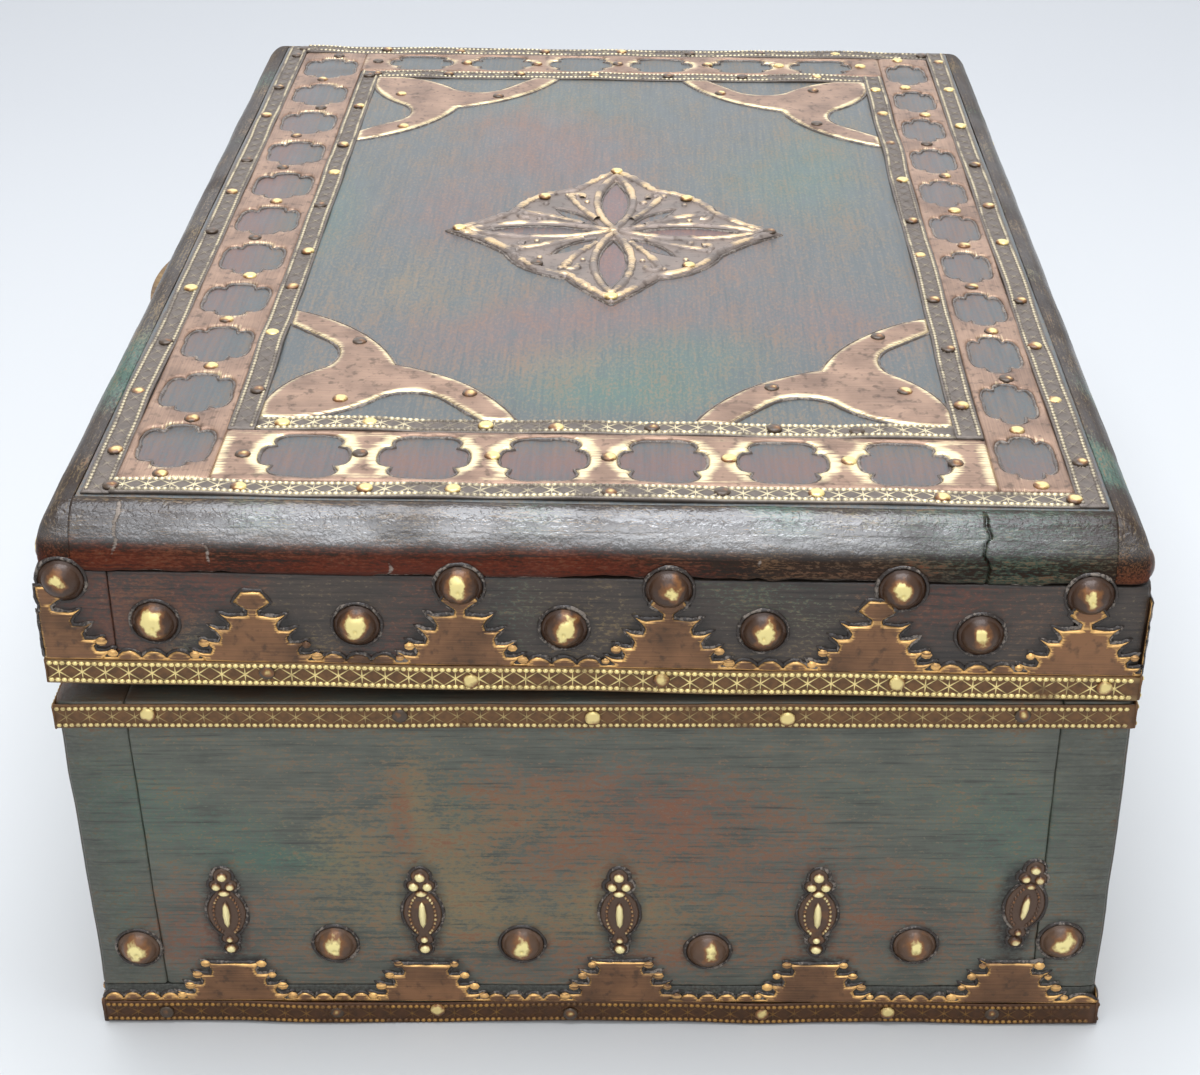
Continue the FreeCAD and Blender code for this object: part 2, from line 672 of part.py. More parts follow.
# Points of a corner plate's near half, as shares of its reach from the corner
STEM_FOOT = (0.13, 0.0)
STEM_SIDE = (0.31, 0.07)
ARCH_SPRING = (0.45, 0.2)
ARCH_CROWN = (0.57, 0.243)
ARCH_HAUNCH = (0.71, 0.18)
ARM_HEEL = (0.87, 0.0)
ARM_TIP = (1.0, 0.0)
ARM_BACK = (0.8, 0.29)
CUSP = (0.48, 0.48)


def spandrel():
    """A corner plate of two arms and a stem, with an arch between each arm and its edge."""
    def near(point):
        return point[0] * mm.spandrel_reach, point[1] * mm.spandrel_reach

    def far(point):
        return point[1] * mm.spandrel_reach, point[0] * mm.spandrel_reach

    corner = (0, 0)
    edges = [line(corner, near(STEM_FOOT)), arc(near(STEM_FOOT), near(STEM_SIDE), near(ARCH_SPRING)),
             arc(near(ARCH_SPRING), near(ARCH_CROWN), near(ARCH_HAUNCH)), line(near(ARCH_HAUNCH), near(ARM_HEEL)),
             line(near(ARM_HEEL), near(ARM_TIP)), arc(near(ARM_TIP), near(ARM_BACK), near(CUSP)),
             arc(far(CUSP), far(ARM_BACK), far(ARM_TIP)), line(far(ARM_TIP), far(ARM_HEEL)),
             line(far(ARM_HEEL), far(ARCH_HAUNCH)), arc(far(ARCH_HAUNCH), far(ARCH_CROWN), far(ARCH_SPRING)),
             arc(far(ARCH_SPRING), far(STEM_SIDE), far(STEM_FOOT)), line(far(STEM_FOOT), corner)]
    return Part.Face(chiselled(edges))


inner_left, inner_right = field_left + mm.strip_width, field_right - mm.strip_width
inner_front, inner_back = field_front + mm.strip_width, field_back - mm.strip_width
corner_turns = [((inner_left, inner_front), 0), ((inner_right, inner_front), 90),
                ((inner_right, inner_back), 180), ((inner_left, inner_back), 270)]
add_node("lid_corner_plates",
         [plate(f"spandrel_{turn}", spandrel(), "fret_thickness",
                Placement(Vector(x, y, lid_top), Rotation(UP, turn))) for (x, y), turn in corner_turns],
         LID_AT_REST)

# Points of one quarter of the medallion, as shares of its half length and half width
OGEE_HOLLOW = (0.11, 0.87)
OGEE_START = (0.26, 0.66)
OGEE_LOBE = (0.48, 0.55)
OGEE_END = (0.63, 0.32)
OGEE_TAIL = (0.79, 0.155)
PETAL_NEAR = 0.1
PETAL_FAR = 0.8
PETAL_HALF_WIDTH = 4
LEAF_NEAR = 0.14
LEAF_FAR = 0.52
LEAF_HALF_WIDTH = 2.2
LEAF_TURN = 45


def ogee_outline():
    """A rhombus whose edges swell in an ogee."""
    half_x, half_y = mm.medallion_length / 2, mm.medallion_width / 2
    edges = []
    for sign_x, sign_y, backward in ((1, 1, False), (-1, 1, True), (-1, -1, False), (1, -1, True)):
        def at(point):
            return sign_x * half_x * point[1], sign_y * half_y * point[0]
        run = [at(point) for point in ((0, 1), OGEE_HOLLOW, OGEE_START, OGEE_LOBE, OGEE_END, OGEE_TAIL, (1, 0))]
        if backward:
            run.reverse()
        edges += [arc(*run[start:start + 3]) for start in (0, 2, 4)]
    return chiselled(edges)


def almond(near, far, half_wide, turn):
    """A pointed opening that lies along a ray from the middle."""
    middle = (near + far) / 2
    sides = [arc((near, 0), (middle, half_wide), (far, 0)), arc((far, 0), (middle, -half_wide), (near, 0))]
    wire = chiselled(sides)
    wire.rotate(Vector(), UP, turn)
    return wire


petals = [almond(half * PETAL_NEAR, half * PETAL_FAR, PETAL_HALF_WIDTH, turn)
          for turn, half in ((0, mm.medallion_length / 2), (90, mm.medallion_width / 2),
                             (180, mm.medallion_length / 2), (270, mm.medallion_width / 2))]
leaves = [almond(mm.medallion_width / 2 * LEAF_NEAR, mm.medallion_width / 2 * LEAF_FAR, LEAF_HALF_WIDTH,
                 LEAF_TURN + quarter * 90) for quarter in range(4)]
medallion_x = (field_left + field_right) / 2 + mm.medallion_shift
medallion_y = (field_front + field_back) / 2
on_field = Placement(Vector(medallion_x, medallion_y, lid_top), Rotation())
add_node("lid_medallion", [plate("medallion", pierced(ogee_outline(), petals + leaves), "fret_thickness", on_field)],
         LID_AT_REST)

# Hinges: three knuckles on a pin, two on the case leaf and one on the lid leaf

KNUCKLES = 3
HINGE_Y = f"{HALF_WIDTH} + {PIN_OUT}"
PIN_PROUD = "knuckle_gap"


def knuckle_span(centre, number):
    """Where one knuckle starts and how long it is, as formulas."""
    start = f"{centre} - hinge_width / 2 + hinge_width * {number} / {KNUCKLES} + knuckle_gap / 2"
    return start, f"hinge_width / {KNUCKLES} - knuckle_gap"


def leaf(name, centre, numbers, upward, bore):
    """A hinge leaf on the back face, with its knuckles."""
    near, far = "knuckle_radius + knuckle_gap", "leaf_height"
    if upward:
        low, high = f"{CASE_TOP} + {near}", f"{CASE_TOP} + {far}"
    else:
        low, high = f"{CASE_TOP} - {far}", f"{CASE_TOP} - ({near})"
    outer = f"{HALF_WIDTH} + leaf_thickness"
    pieces = [box(name + "_plate", (f"{centre} - hinge_width / 2", HALF_WIDTH, low),
                  (f"{centre} + hinge_width / 2", outer, high))]
    for number in numbers:
        start, length = knuckle_span(centre, number)
        web = (CASE_TOP, high) if upward else (low, CASE_TOP)
        pieces.append(box(f"{name}_web_{number}", (start, HALF_WIDTH, web[0]),
                          (f"{start} + {length}", outer, web[1])))
        pieces.append(rod(f"{name}_knuckle_{number}", (start, HINGE_Y, CASE_TOP), "knuckle_radius", length))
    hole = rod(name + "_bore", (f"{centre} - hinge_width / 2", HINGE_Y, CASE_TOP), bore, "hinge_width")
    return cut(name + "_bored", fuse(name + "_joined", pieces), hole)


for hand, centre in (("left", "-hinge_offset"), ("right", "hinge_offset")):
    add_node(f"hinge_{hand}_case_leaf", [leaf(f"case_leaf_{hand}", centre, (0, 2), False, "pin_radius")],
             CASE_AT_REST)
    add_node(f"hinge_{hand}_lid_leaf",
             [leaf(f"lid_leaf_{hand}", centre, (1,), True, "pin_radius + pin_clearance")], LID_AT_REST)
add_node("hinge_pins", [rod(f"hinge_pin_{hand}", (f"{centre} - hinge_width / 2 - {PIN_PROUD}", HINGE_Y, CASE_TOP),
                            "pin_radius", f"hinge_width + 2 * {PIN_PROUD}")
                        for hand, centre in (("left", "-hinge_offset"), ("right", "hinge_offset"))], CASE_AT_REST)

# Hasp plate: a small leaf on the lid's front rim with a knuckle at each end

HASP_Y = f"-({HALF_WIDTH} + {PIN_OUT})"
HASP_Z = f"{CASE_TOP} + hasp_axis_level"
EYE = "hasp_plate_width / 5"
plate_low = f"{HASP_Z} - hasp_plate_height"
plate_face = f"-({HALF_WIDTH} + leaf_thickness)"
hasp_plate = [box("hasp_plate_leaf", ("-hasp_plate_width / 2", plate_face, plate_low),
                  ("hasp_plate_width / 2", f"-({HALF_WIDTH})", f"{HASP_Z} - knuckle_radius - knuckle_gap"))]
for hand, start in (("left", "-hasp_plate_width / 2"), ("right", f"{EYE} + knuckle_gap")):
    length = f"hasp_plate_width / 2 - {EYE} - knuckle_gap"
    hasp_plate.append(box(f"hasp_web_{hand}", (start, plate_face, plate_low),
                          (f"{start} + {length}", f"-({HALF_WIDTH})", HASP_Z)))
    hasp_plate.append(rod(f"hasp_knuckle_{hand}", (start, HASP_Y, HASP_Z), "knuckle_radius", length))
hasp_bore = rod("hasp_plate_bore", ("-hasp_plate_width / 2", HASP_Y, HASP_Z), "pin_radius", "hasp_plate_width")
add_node("hasp_plate", [cut("hasp_plate_bored", fuse("hasp_plate_joined", hasp_plate), hasp_bore)], LID_AT_REST)
add_node("hasp_pin", [rod("hasp_pin_rod", (f"-hasp_plate_width / 2 - {PIN_PROUD}", HASP_Y, HASP_Z), "pin_radius",
                          f"hasp_plate_width + 2 * {PIN_PROUD}")], LID_AT_REST)

# Hasp: a sheet pressed out in the middle, on an eye rolled round its pin, with a slot for the staple

SHOULDER_DROP = 0.2
WAIST = (0.42, 0.6)
TIP_SIDE = (0.22, 0.86)
tongue = mm.hasp_thickness / 2
eye_half = mm.hasp_plate_width / 5
bulge_back = mm.knuckle_radius + mm.hasp_standoff


def bulge_section():
    """The hasp cut level: a shallow arch of even thickness."""
    half = mm.hasp_width / 2
    back_edge = -bulge_back + mm.hasp_bulge
    front_edge = back_edge - mm.hasp_thickness
    return Part.Face(Part.Wire([
        arc((-half, back_edge), (0, -bulge_back), (half, back_edge)), line((half, back_edge), (half, front_edge)),
        arc((half, front_edge), (0, -bulge_back - mm.hasp_thickness), (-half, front_edge)),
        line((-half, front_edge), (-half, back_edge))]))


def hasp_outline():
    """The hasp seen from the front: square shoulders that narrow to a round tip."""
    half, length = mm.hasp_width / 2, mm.hasp_length
    shoulder = (half, -length * SHOULDER_DROP)
    waist = (mm.hasp_width * WAIST[0], -length * WAIST[1])
    side = (mm.hasp_width * TIP_SIDE[0], -length * TIP_SIDE[1])

    def mirror(point):
        return -point[0], point[1]
    top = (half, tongue)
    return Part.Face(Part.Wire([
        line(mirror(top), top), line(top, shoulder), arc(shoulder, waist, side),
        arc(side, (0, -length), mirror(side)), arc(mirror(side), mirror(waist), mirror(shoulder)),
        line(mirror(shoulder), mirror(top))]))


sheet_bar = bulge_section().extrude(Vector(0, 0, -2 * mm.hasp_length))
sheet_bar.translate(Vector(0, 0, tongue))
outline_bar = hasp_outline().extrude(Vector(0, 0, 2 * mm.hasp_width))
outline_bar.rotate(Vector(), Vector(1, 0, 0), 90)
hasp_sheet = sheet_bar.common(outline_bar)
eye = Part.makeCylinder(mm.knuckle_radius, 2 * eye_half, Vector(-eye_half, 0, 0), Vector(1, 0, 0))
tongue_bar = Part.makeBox(2 * eye_half, bulge_back + tongue, 2 * tongue,
                          Vector(-eye_half, -bulge_back - tongue, -tongue))
eye_bore = Part.makeCylinder(mm.pin_radius + mm.pin_clearance, 2 * eye_half, Vector(-eye_half, 0, 0),
                             Vector(1, 0, 0))
slot_middle = -(mm.hasp_axis_level + mm.staple_drop)
slot = Part.makeBox(mm.slot_width, 2 * mm.hasp_width, mm.slot_height,
                    Vector(-mm.slot_width / 2, -2 * mm.hasp_width, slot_middle - mm.slot_height / 2))
hasp = hasp_sheet.multiFuse([eye, tongue_bar]).cut(eye_bore).cut(slot).removeSplitter()

# The hasp hangs from the lid as it rests, and leans on the staple's nose
hasp_pin_point = LID_AT_REST.multVec(Vector(0, -half_width - pin_out, case_top + mm.hasp_axis_level))
pin_to_nose = hasp_pin_point.z - staple_level
nose_reach = hasp_pin_point.y - bulge_back + half_width + staple_nose + mm.rest_gap
hasp_lean = math.degrees(math.asin(nose_reach / pin_to_nose))
add_node("hasp", [add_shape("hasp_solid", hasp)], Placement(hasp_pin_point, Rotation(OPENING_AXIS, hasp_lean)))

# Every object has to be sound before anything is written
doc.recompute()
failed = [thing.Name for thing in doc.Objects if {"Invalid", "Error"} & set(thing.State)]
failed += [group.Label for group in nodes if group.Shape.isNull() or not group.Shape.isValid()
           or not group.Shape.Solids]
if failed:
    raise RuntimeError("not built: " + ", ".join(failed))

os.makedirs("parts", exist_ok=True)
for group in nodes:
    group.Shape.exportStep(os.path.join("parts", group.Label + ".step"))
    print(group.Label, len(group.Shape.Solids), "solids", round(group.Shape.Volume), "mm3")
print("hinge pin", hinge_point, "hasp pin", hasp_pin_point, "hasp lean", round(hasp_lean, 2))
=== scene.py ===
import json
import math
import random

import bpy
import numpy as np
from mathutils import Matrix, Vector, noise
from mathutils.geometry import delaunay_2d_cdt


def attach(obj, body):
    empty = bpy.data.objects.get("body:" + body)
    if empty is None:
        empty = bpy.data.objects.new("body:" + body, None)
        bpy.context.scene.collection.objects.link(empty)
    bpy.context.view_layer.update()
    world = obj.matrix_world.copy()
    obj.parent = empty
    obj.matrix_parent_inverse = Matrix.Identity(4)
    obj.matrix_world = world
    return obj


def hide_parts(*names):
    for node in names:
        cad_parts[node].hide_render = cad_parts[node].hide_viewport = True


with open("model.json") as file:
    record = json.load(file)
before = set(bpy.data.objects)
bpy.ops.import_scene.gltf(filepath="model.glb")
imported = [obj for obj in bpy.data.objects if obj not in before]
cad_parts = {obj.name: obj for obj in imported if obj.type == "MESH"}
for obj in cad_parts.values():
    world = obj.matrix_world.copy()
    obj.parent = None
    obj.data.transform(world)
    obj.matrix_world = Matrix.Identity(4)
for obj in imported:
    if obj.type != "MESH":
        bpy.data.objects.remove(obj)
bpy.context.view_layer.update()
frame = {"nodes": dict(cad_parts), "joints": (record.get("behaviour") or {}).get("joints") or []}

# Stage
# A pale floor, a soft light overhead, a broad one behind that puts a sheen on the lid, and a weak fill.
# The camera stands before the right end of the box and looks down on it, as in the photograph.
FLOOR_NEAR, FLOOR_CLOUD, FLOOR_FAR = "#d6d7d5", "#d0d1d0", "#c3c4c5"
FLOOR_REACH = 4.0
FADE_START, FADE_END = 0.8, 1.8
CAMERA_PLACE = (0.52627, 0.01466, 0.34805)
CAMERA_TURN = (59.538, 0.944, 91.307)
CAMERA_LENS = 64.187
WORLD_COLOUR, WORLD_STRENGTH = "#f1f5fa", 0.28
BACKDROP_COLOUR = "#dfe3e7"
LIGHT_COLOUR = "#f4f8ff"
# Each light: its place, what it is aimed at, its size and its watts
SOFT_LIGHTS = {
    "overhead": ((0.0, 0.0, 1.25), (0.05, 0.0, 0.0), (1.1, 0.95), 22.0),
    "behind": ((-1.5, 0.0, 0.8), (0.0, 0.0, 0.1), (2.2, 1.0), 7.0),
    "fill": ((1.35, 0.0, 1.25), (0.15, 0.0, 0.1), (1.5, 1.45), 12.2),
}


def linear(hex_colour):
    """An sRGB hex colour as linear red, green, blue and a full alpha."""
    shares = [int(hex_colour[start:start + 2], 16) / 255 for start in (1, 3, 5)]
    return [share / 12.92 if share <= 0.04045 else ((share + 0.055) / 1.055) ** 2.4 for share in shares] + [1]


def add(tree, kind, inputs=None, out=0, **settings):
    """A node with its settings: the output asked for, or the node where it has none.

    Each input is a plain value, or a socket to link from. A shader node's kind goes without its prefix.
    """
    node = tree.nodes.new(kind if "Node" in kind else "ShaderNode" + kind)
    for name, value in settings.items():
        setattr(node, name, value)
    for key, value in (inputs or {}).items():
        if isinstance(value, bpy.types.NodeSocket):
            tree.links.new(value, node.inputs[key])
        else:
            node.inputs[key].default_value = value
    return node.outputs[out] if len(node.outputs) else node


def start_material(name):
    """An empty material and its node tree."""
    material = bpy.data.materials.new(name)
    material.use_nodes = True
    material.node_tree.nodes.clear()
    return material, material.node_tree


def seen_share(tree):
    """1 for a ray that shows the backdrop to the eye, straight, in a mirror or through glass; 0 for light."""
    path = add(tree, "LightPath").node.outputs
    straight = add(tree, "Math", {0: path["Is Camera Ray"], 1: path["Is Glossy Ray"]}, operation="MAXIMUM")
    return add(tree, "Math", {0: straight, 1: path["Is Transmission Ray"]}, operation="MAXIMUM")


def pale_floor():
    """Matt painted board, almost white, which runs into an even backdrop far from the box."""
    material, tree = start_material("matt white board")
    place = add(tree, "TexCoord", out="Object")
    cloud = add(tree, "TexNoise", {"Vector": place, "Scale": 3.0, "Detail": 3.0})
    far = add(tree, "MapRange", {0: add(tree, "SeparateXYZ", {0: place}), 1: 0.3, 2: -0.5})
    near = add(tree, "Mix", {0: cloud, 6: linear(FLOOR_CLOUD), 7: linear(FLOOR_NEAR)}, 2, data_type="RGBA")
    tone = add(tree, "Mix", {0: far, 6: near, 7: linear(FLOOR_FAR)}, 2, data_type="RGBA")
    shader = add(tree, "BsdfPrincipled", {"Base Color": tone, "Roughness": 0.6})
    away = add(tree, "VectorMath", {0: place}, "Value", operation="LENGTH")
    away = add(tree, "MapRange", {0: away, 1: FADE_START, 2: FADE_END}, interpolation_type="SMOOTHSTEP")
    share = add(tree, "Math", {0: away, 1: seen_share(tree)}, operation="MULTIPLY")
    backdrop = add(tree, "Emission", {"Color": linear(BACKDROP_COLOUR)})
    blended = add(tree, "MixShader", {0: share, 1: shader, 2: backdrop})
    add(tree, "OutputMaterial", {"Surface": blended})
    return material


floor_mesh = bpy.data.meshes.new("floor")
floor_corners = [(x * FLOOR_REACH, y * FLOOR_REACH, 0) for x, y in ((-1, -1), (1, -1), (1, 1), (-1, 1))]
floor_mesh.from_pydata(floor_corners, [], [(0, 1, 2, 3)])
floor_mesh.materials.append(pale_floor())
floor = bpy.data.objects.new("floor", floor_mesh)
bpy.context.collection.objects.link(floor)

for light_name, (light_place, light_aim, light_size, watts) in SOFT_LIGHTS.items():
    lamp = bpy.data.lights.new(light_name, "AREA")
    lamp.shape = "RECTANGLE"
    lamp.size, lamp.size_y = light_size
    lamp.energy = watts
    lamp.color = linear(LIGHT_COLOUR)[:3]
    holder = bpy.data.objects.new(light_name, lamp)
    holder.location = light_place
    aim = Vector(light_aim) - Vector(light_place)
    holder.rotation_euler = aim.to_track_quat("-Z", "Y").to_euler()
    bpy.context.collection.objects.link(holder)

scene = bpy.context.scene
scene.view_settings.view_transform = "Standard"
scene.world = bpy.data.worlds.new("studio")
scene.world.use_nodes = True
sky_tree = scene.world.node_tree
sky_tree.nodes.clear()
light_sky = add(sky_tree, "Background", {"Color": linear(WORLD_COLOUR), "Strength": WORLD_STRENGTH})
seen_sky = add(sky_tree, "Background", {"Color": linear(BACKDROP_COLOUR)})
whole_sky = add(sky_tree, "MixShader", {0: seen_share(sky_tree), 1: light_sky, 2: seen_sky})
add(sky_tree, "OutputWorld", {"Surface": whole_sky})

camera_data = bpy.data.cameras.new("camera")
camera_data.lens = CAMERA_LENS
camera = bpy.data.objects.new("camera", camera_data)
camera.location = CAMERA_PLACE
camera.rotation_euler = [math.radians(angle) for angle in CAMERA_TURN]
bpy.context.collection.objects.link(camera)
scene.camera = camera

# Case and lid boards
# Hardwood boards, the long ones nailed over the ends of the short ones, painted green over red and rubbed
# through by handling. Sizes in millimetres; the lid is drawn shut and then turned to where it rests.
MM = 0.001
HALF_LENGTH = 156.0
HALF_WIDTH = 114.0
BOTTOM = 11.0
CASE_TOP = 90.0
LID_UNDER = 118.0
LID_TOP = 131.0
BOARD = 15.0
EDGING = 8.0
EDGING_ROUND, EDGING_DROP = 7.5, 11.0
LID_AJAR = math.radians(1.2)
EDGE_ROWS = (0.35, 0.9)
BOARD_PITCH = 2.2
EDGE_WEAR = 0.7
CORNER_ROUND = 2.2
HINGE = np.array(next(joint["pos_m"] for joint in frame["joints"] if joint["name"] == "lid_hinge")) / MM

# Each side: its left corner seen from outside, the way along it, the way out, and its length
SIDES = {
    "front": ((-HALF_LENGTH, -HALF_WIDTH), (1, 0), (0, -1), 2 * HALF_LENGTH),
    "right": ((HALF_LENGTH, -HALF_WIDTH), (0, 1), (1, 0), 2 * HALF_WIDTH),
    "back": ((HALF_LENGTH, HALF_WIDTH), (-1, 0), (0, 1), 2 * HALF_LENGTH),
    "left": ((-HALF_LENGTH, HALF_WIDTH), (0, -1), (-1, 0), 2 * HALF_WIDTH),
}
LONG_SIDES = ("front", "back")


def on_side(side, points, level=0.0):
    """Points given along, up and out from a side's face, as places in the box's frame."""
    corner, along, out, _ = SIDES[side]
    points = np.asarray(points, float)
    places = np.empty_like(points)
    places[:, 0] = corner[0] + along[0] * points[:, 0] + out[0] * points[:, 2]
    places[:, 1] = corner[1] + along[1] * points[:, 0] + out[1] * points[:, 2]
    places[:, 2] = level + points[:, 1]
    return places


def lid_at_rest(places):
    """Places on the shut lid, moved to where the warped lid rests."""
    across, up = (places[:, 1] - HINGE[1]).copy(), (places[:, 2] - HINGE[2]).copy()
    moved = places.copy()
    moved[:, 1] = HINGE[1] + across * math.cos(LID_AJAR) + up * math.sin(LID_AJAR)
    moved[:, 2] = HINGE[2] - across * math.sin(LID_AJAR) + up * math.cos(LID_AJAR)
    return moved


def rough(places, size, seed):
    """Smooth noise at each place, from -1 to 1, with features of about that size."""
    shift = Vector((seed * 7.31, seed * 3.77, seed * 5.13))
    return np.array([noise.noise(Vector(place) / size + shift) for place in places])


def piece(name, places, faces, material, body, stands_for, slot, floats=None, vectors=None):
    """A finished mesh object on its body, standing for CAD nodes, with named attributes on its points."""
    if body == "lid":
        places = lid_at_rest(places)
    mesh = bpy.data.meshes.new(name)
    mesh.from_pydata((places * MM).tolist(), [], [list(face) for face in faces])
    mesh.polygons.foreach_set("use_smooth", [True] * len(mesh.polygons))
    for key, values in (floats or {}).items():
        layer = mesh.attributes.new(key, "FLOAT", "POINT")
        layer.data.foreach_set("value", np.asarray(values, np.float32))
    for key, values in (vectors or {}).items():
        layer = mesh.attributes.new(key, "FLOAT_VECTOR", "POINT")
        layer.data.foreach_set("vector", np.asarray(values, np.float32).ravel())
    mesh.materials.append(material)
    made = bpy.data.objects.new(name, mesh)
    bpy.context.collection.objects.link(made)
    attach(made, body)
    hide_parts(*stands_for)


def board_shell(low, high, pitch, extra=None):
    """A closed box in small faces, with close rows at its edges: points, and faces that point outwards."""
    ticks = []
    for axis, (start, end) in enumerate(zip(low, high)):
        margin = EDGE_ROWS[-1]
        count = max(2, int((end - start - 2 * margin) / pitch[axis]) + 1)
        rows = list(np.linspace(start + margin, end - margin, count))
        rows += [start, end] + [start + row for row in EDGE_ROWS] + [end - row for row in EDGE_ROWS]
        rows += (extra or {}).get(axis, [])
        ticks.append(np.unique(np.round(rows, 4)))
    numbers, points, faces = {}, [], []

    def point(key):
        if key not in numbers:
            numbers[key] = len(points)
            points.append([ticks[axis][key[axis]] for axis in range(3)])
        return numbers[key]

    for axis in range(3):
        second, third = (axis + 1) % 3, (axis + 2) % 3
        for end in (0, len(ticks[axis]) - 1):
            for i in range(len(ticks[second]) - 1):
                for j in range(len(ticks[third]) - 1):
                    quad = []
                    for step_i, step_j in ((0, 0), (1, 0), (1, 1), (0, 1)):
                        key = [0, 0, 0]
                        key[axis], key[second], key[third] = end, i + step_i, j + step_j
                        quad.append(point(tuple(key)))
                    faces.append(quad if end else quad[::-1])
    return np.array(points, float), faces


def soften(points, low, high, radius, ripple):
    """Box points with rounded edges, moved in or out by the ripple."""
    low, high = np.array(low), np.array(high)
    radius = np.minimum(radius, (high - low).min() * 0.45)[:, None]
    core = np.clip(points, low + radius, high - radius)
    arm = points - core
    reach = np.linalg.norm(arm, axis=1, keepdims=True)
    return core + arm / reach * (radius + ripple[:, None])


def round_corners(points, radius):
    """Points near the box's four upright corners, drawn in to a rounded corner."""
    sign = np.sign(points[:, :2])
    arm = np.abs(points[:, :2]) - (np.array([HALF_LENGTH, HALF_WIDTH]) - radius[:, None])
    near = (arm > 0).all(axis=1)
    share = np.ones(len(points))
    share[near] = arm[near].max(axis=1) / np.linalg.norm(arm[near], axis=1)
    moved = points.copy()
    inner = np.array([HALF_LENGTH, HALF_WIDTH]) - radius[:, None]
    moved[near, :2] = (sign * (inner + arm * share[:, None]))[near]
    return moved


def lay(tree, under, over, share, start, full, cover=1.0):
    """A colour laid over another as a share goes from start to full: the new colour and its cover."""
    mask = add(tree, "MapRange", {0: share, 1: start, 2: full, 4: cover})
    return add(tree, "Mix", {0: mask, 6: under, 7: linear(over)}, 2, data_type="RGBA"), mask


def painted_wood(name, base, dark, haze, red, gloss, bump, streaks, rubs, sheen=0.5):
    """Painted hardwood under old shellac: thin green over red, rubbed to ochre, dirt and painted shade where
    brass meets it.

    The eye sees fine grain, colours that show through in specks and a broken shine. Thick varnish adds a wet,
    wrinkled coat over all of it, and dust has settled in its cracks. The rubs start, are full, and hide the
    paint by the three numbers given.
    """
    material, tree = start_material(name)
    grain, tint = (add(tree, "Attribute", out="Vector", attribute_name=key) for key in ("grain", "tint"))
    grime_and_shade, edge, dust, varnish = (add(tree, "Attribute", out="Fac", attribute_name=key)
                                  for key in ("grime_and_shade", "edge", "dust", "varnish"))
    # Along and across the grain: streaks of 20 by 0.8 mm, mottling of 14 by 8 mm, specks of 1.3 by 0.7 mm,
    # and wrinkles in the varnish 1 mm apart, drawn out a little across the grain
    thin_way, broad_way, fine_way, wet_way = (
        add(tree, "VectorMath", {0: grain, 1: (1 / along, 1 / across, 1 / across)}, operation="MULTIPLY")
        for along, across in ((20, 0.8), (14, 8), (1.3, 0.7), (1.0, 1.8)))
    streak = add(tree, "TexNoise", {"Vector": thin_way, "Scale": 1.0, "Detail": 4.0, "Roughness": 0.65})
    mottle = add(tree, "TexNoise", {"Vector": broad_way, "Scale": 1.0, "Detail": 5.0, "Roughness": 0.65})
    speck = add(tree, "TexNoise", {"Vector": fine_way, "Scale": 1.0, "Detail": 3.0, "Roughness": 0.7})
    mixed = add(tree, "Math", {0: streak, 1: mottle}, operation="ADD")
    colour, _ = lay(tree, linear(dark), base, mixed, 0.75, 1.25)
    # A rub shows through in specks, first along the grain where the paint is thin
    both = add(tree, "Math", {0: mixed, 1: 0.5, 2: speck}, operation="MULTIPLY_ADD")
    thin = add(tree, "MapRange", {0: both, 1: 0.7, 2: 1.3})
    reds, ochres, teals = add(tree, "SeparateXYZ", {0: tint}).node.outputs
    for weight, rub in ((teals, "#3f6b5c"), (ochres, "#8d7a52"), (reds, red)):
        through = add(tree, "Math", {0: weight, 1: 0.55, 2: thin}, operation="MULTIPLY_ADD")
        colour, _ = lay(tree, colour, rub, through, *rubs)
    colour, _ = lay(tree, colour, haze, speck, 0.62, 0.74, 0.5)
    colour, _ = lay(tree, colour, "#26211d", streak, 0.42, 0.30, streaks)
    # Bare wood on worn edges, dirt mixed with painted shade, and dust, each broken up by the grain
    bare, dirt, dusty = (add(tree, "Math", {0: amount, 1: breaks}, operation="MULTIPLY")
                         for amount, breaks in ((edge, mottle), (grime_and_shade, speck), (dust, speck)))
    colour, _ = lay(tree, colour, "#5b4636", bare, 0.3, 0.52, 0.8)
    # The near-black is dirt and painted shade: it darkens the joints and the wood round the brass, where
    # shade falls
    colour, _ = lay(tree, colour, "#1d1916", dirt, 0.12, 0.5, 0.9)
    colour, dusty = lay(tree, colour, "#a3978c", dusty, 0.3, 0.5, 0.85)
    shine = add(tree, "MapRange", {0: mottle, 1: 0.3, 2: 0.7, 3: gloss, 4: gloss + 0.16})
    ridges = add(tree, "Math", {0: streak, 1: speck}, operation="ADD")
    relief = add(tree, "Bump", {"Strength": bump, "Distance": 0.0003, "Height": ridges})
    coat = add(tree, "Math", {0: varnish, 1: dusty}, operation="SUBTRACT", use_clamp=True)
    # The wrinkles lie over broader lumps of 5 mm
    wrinkle = add(tree, "TexNoise", {"Vector": wet_way, "Scale": 1.0, "Detail": 3.0, "Distortion": 1.0})
    lump = add(tree, "TexNoise", {"Vector": grain, "Scale": 1 / 5, "Detail": 1.0})
    crazed = add(tree, "Math", {0: lump, 1: 2.0, 2: wrinkle}, operation="MULTIPLY_ADD")
    wet = add(tree, "Bump", {"Strength": 1.0, "Distance": 0.0002, "Height": crazed})
    shader = add(tree, "BsdfPrincipled", {
        "Base Color": colour, "Roughness": shine, "Normal": relief, "IOR": 1.45, "Specular IOR Level": sheen,
        "Coat Weight": coat, "Coat Roughness": 0.24, "Coat IOR": 3.2, "Coat Normal": wet})
    add(tree, "OutputMaterial", {"Surface": shader})
    return material


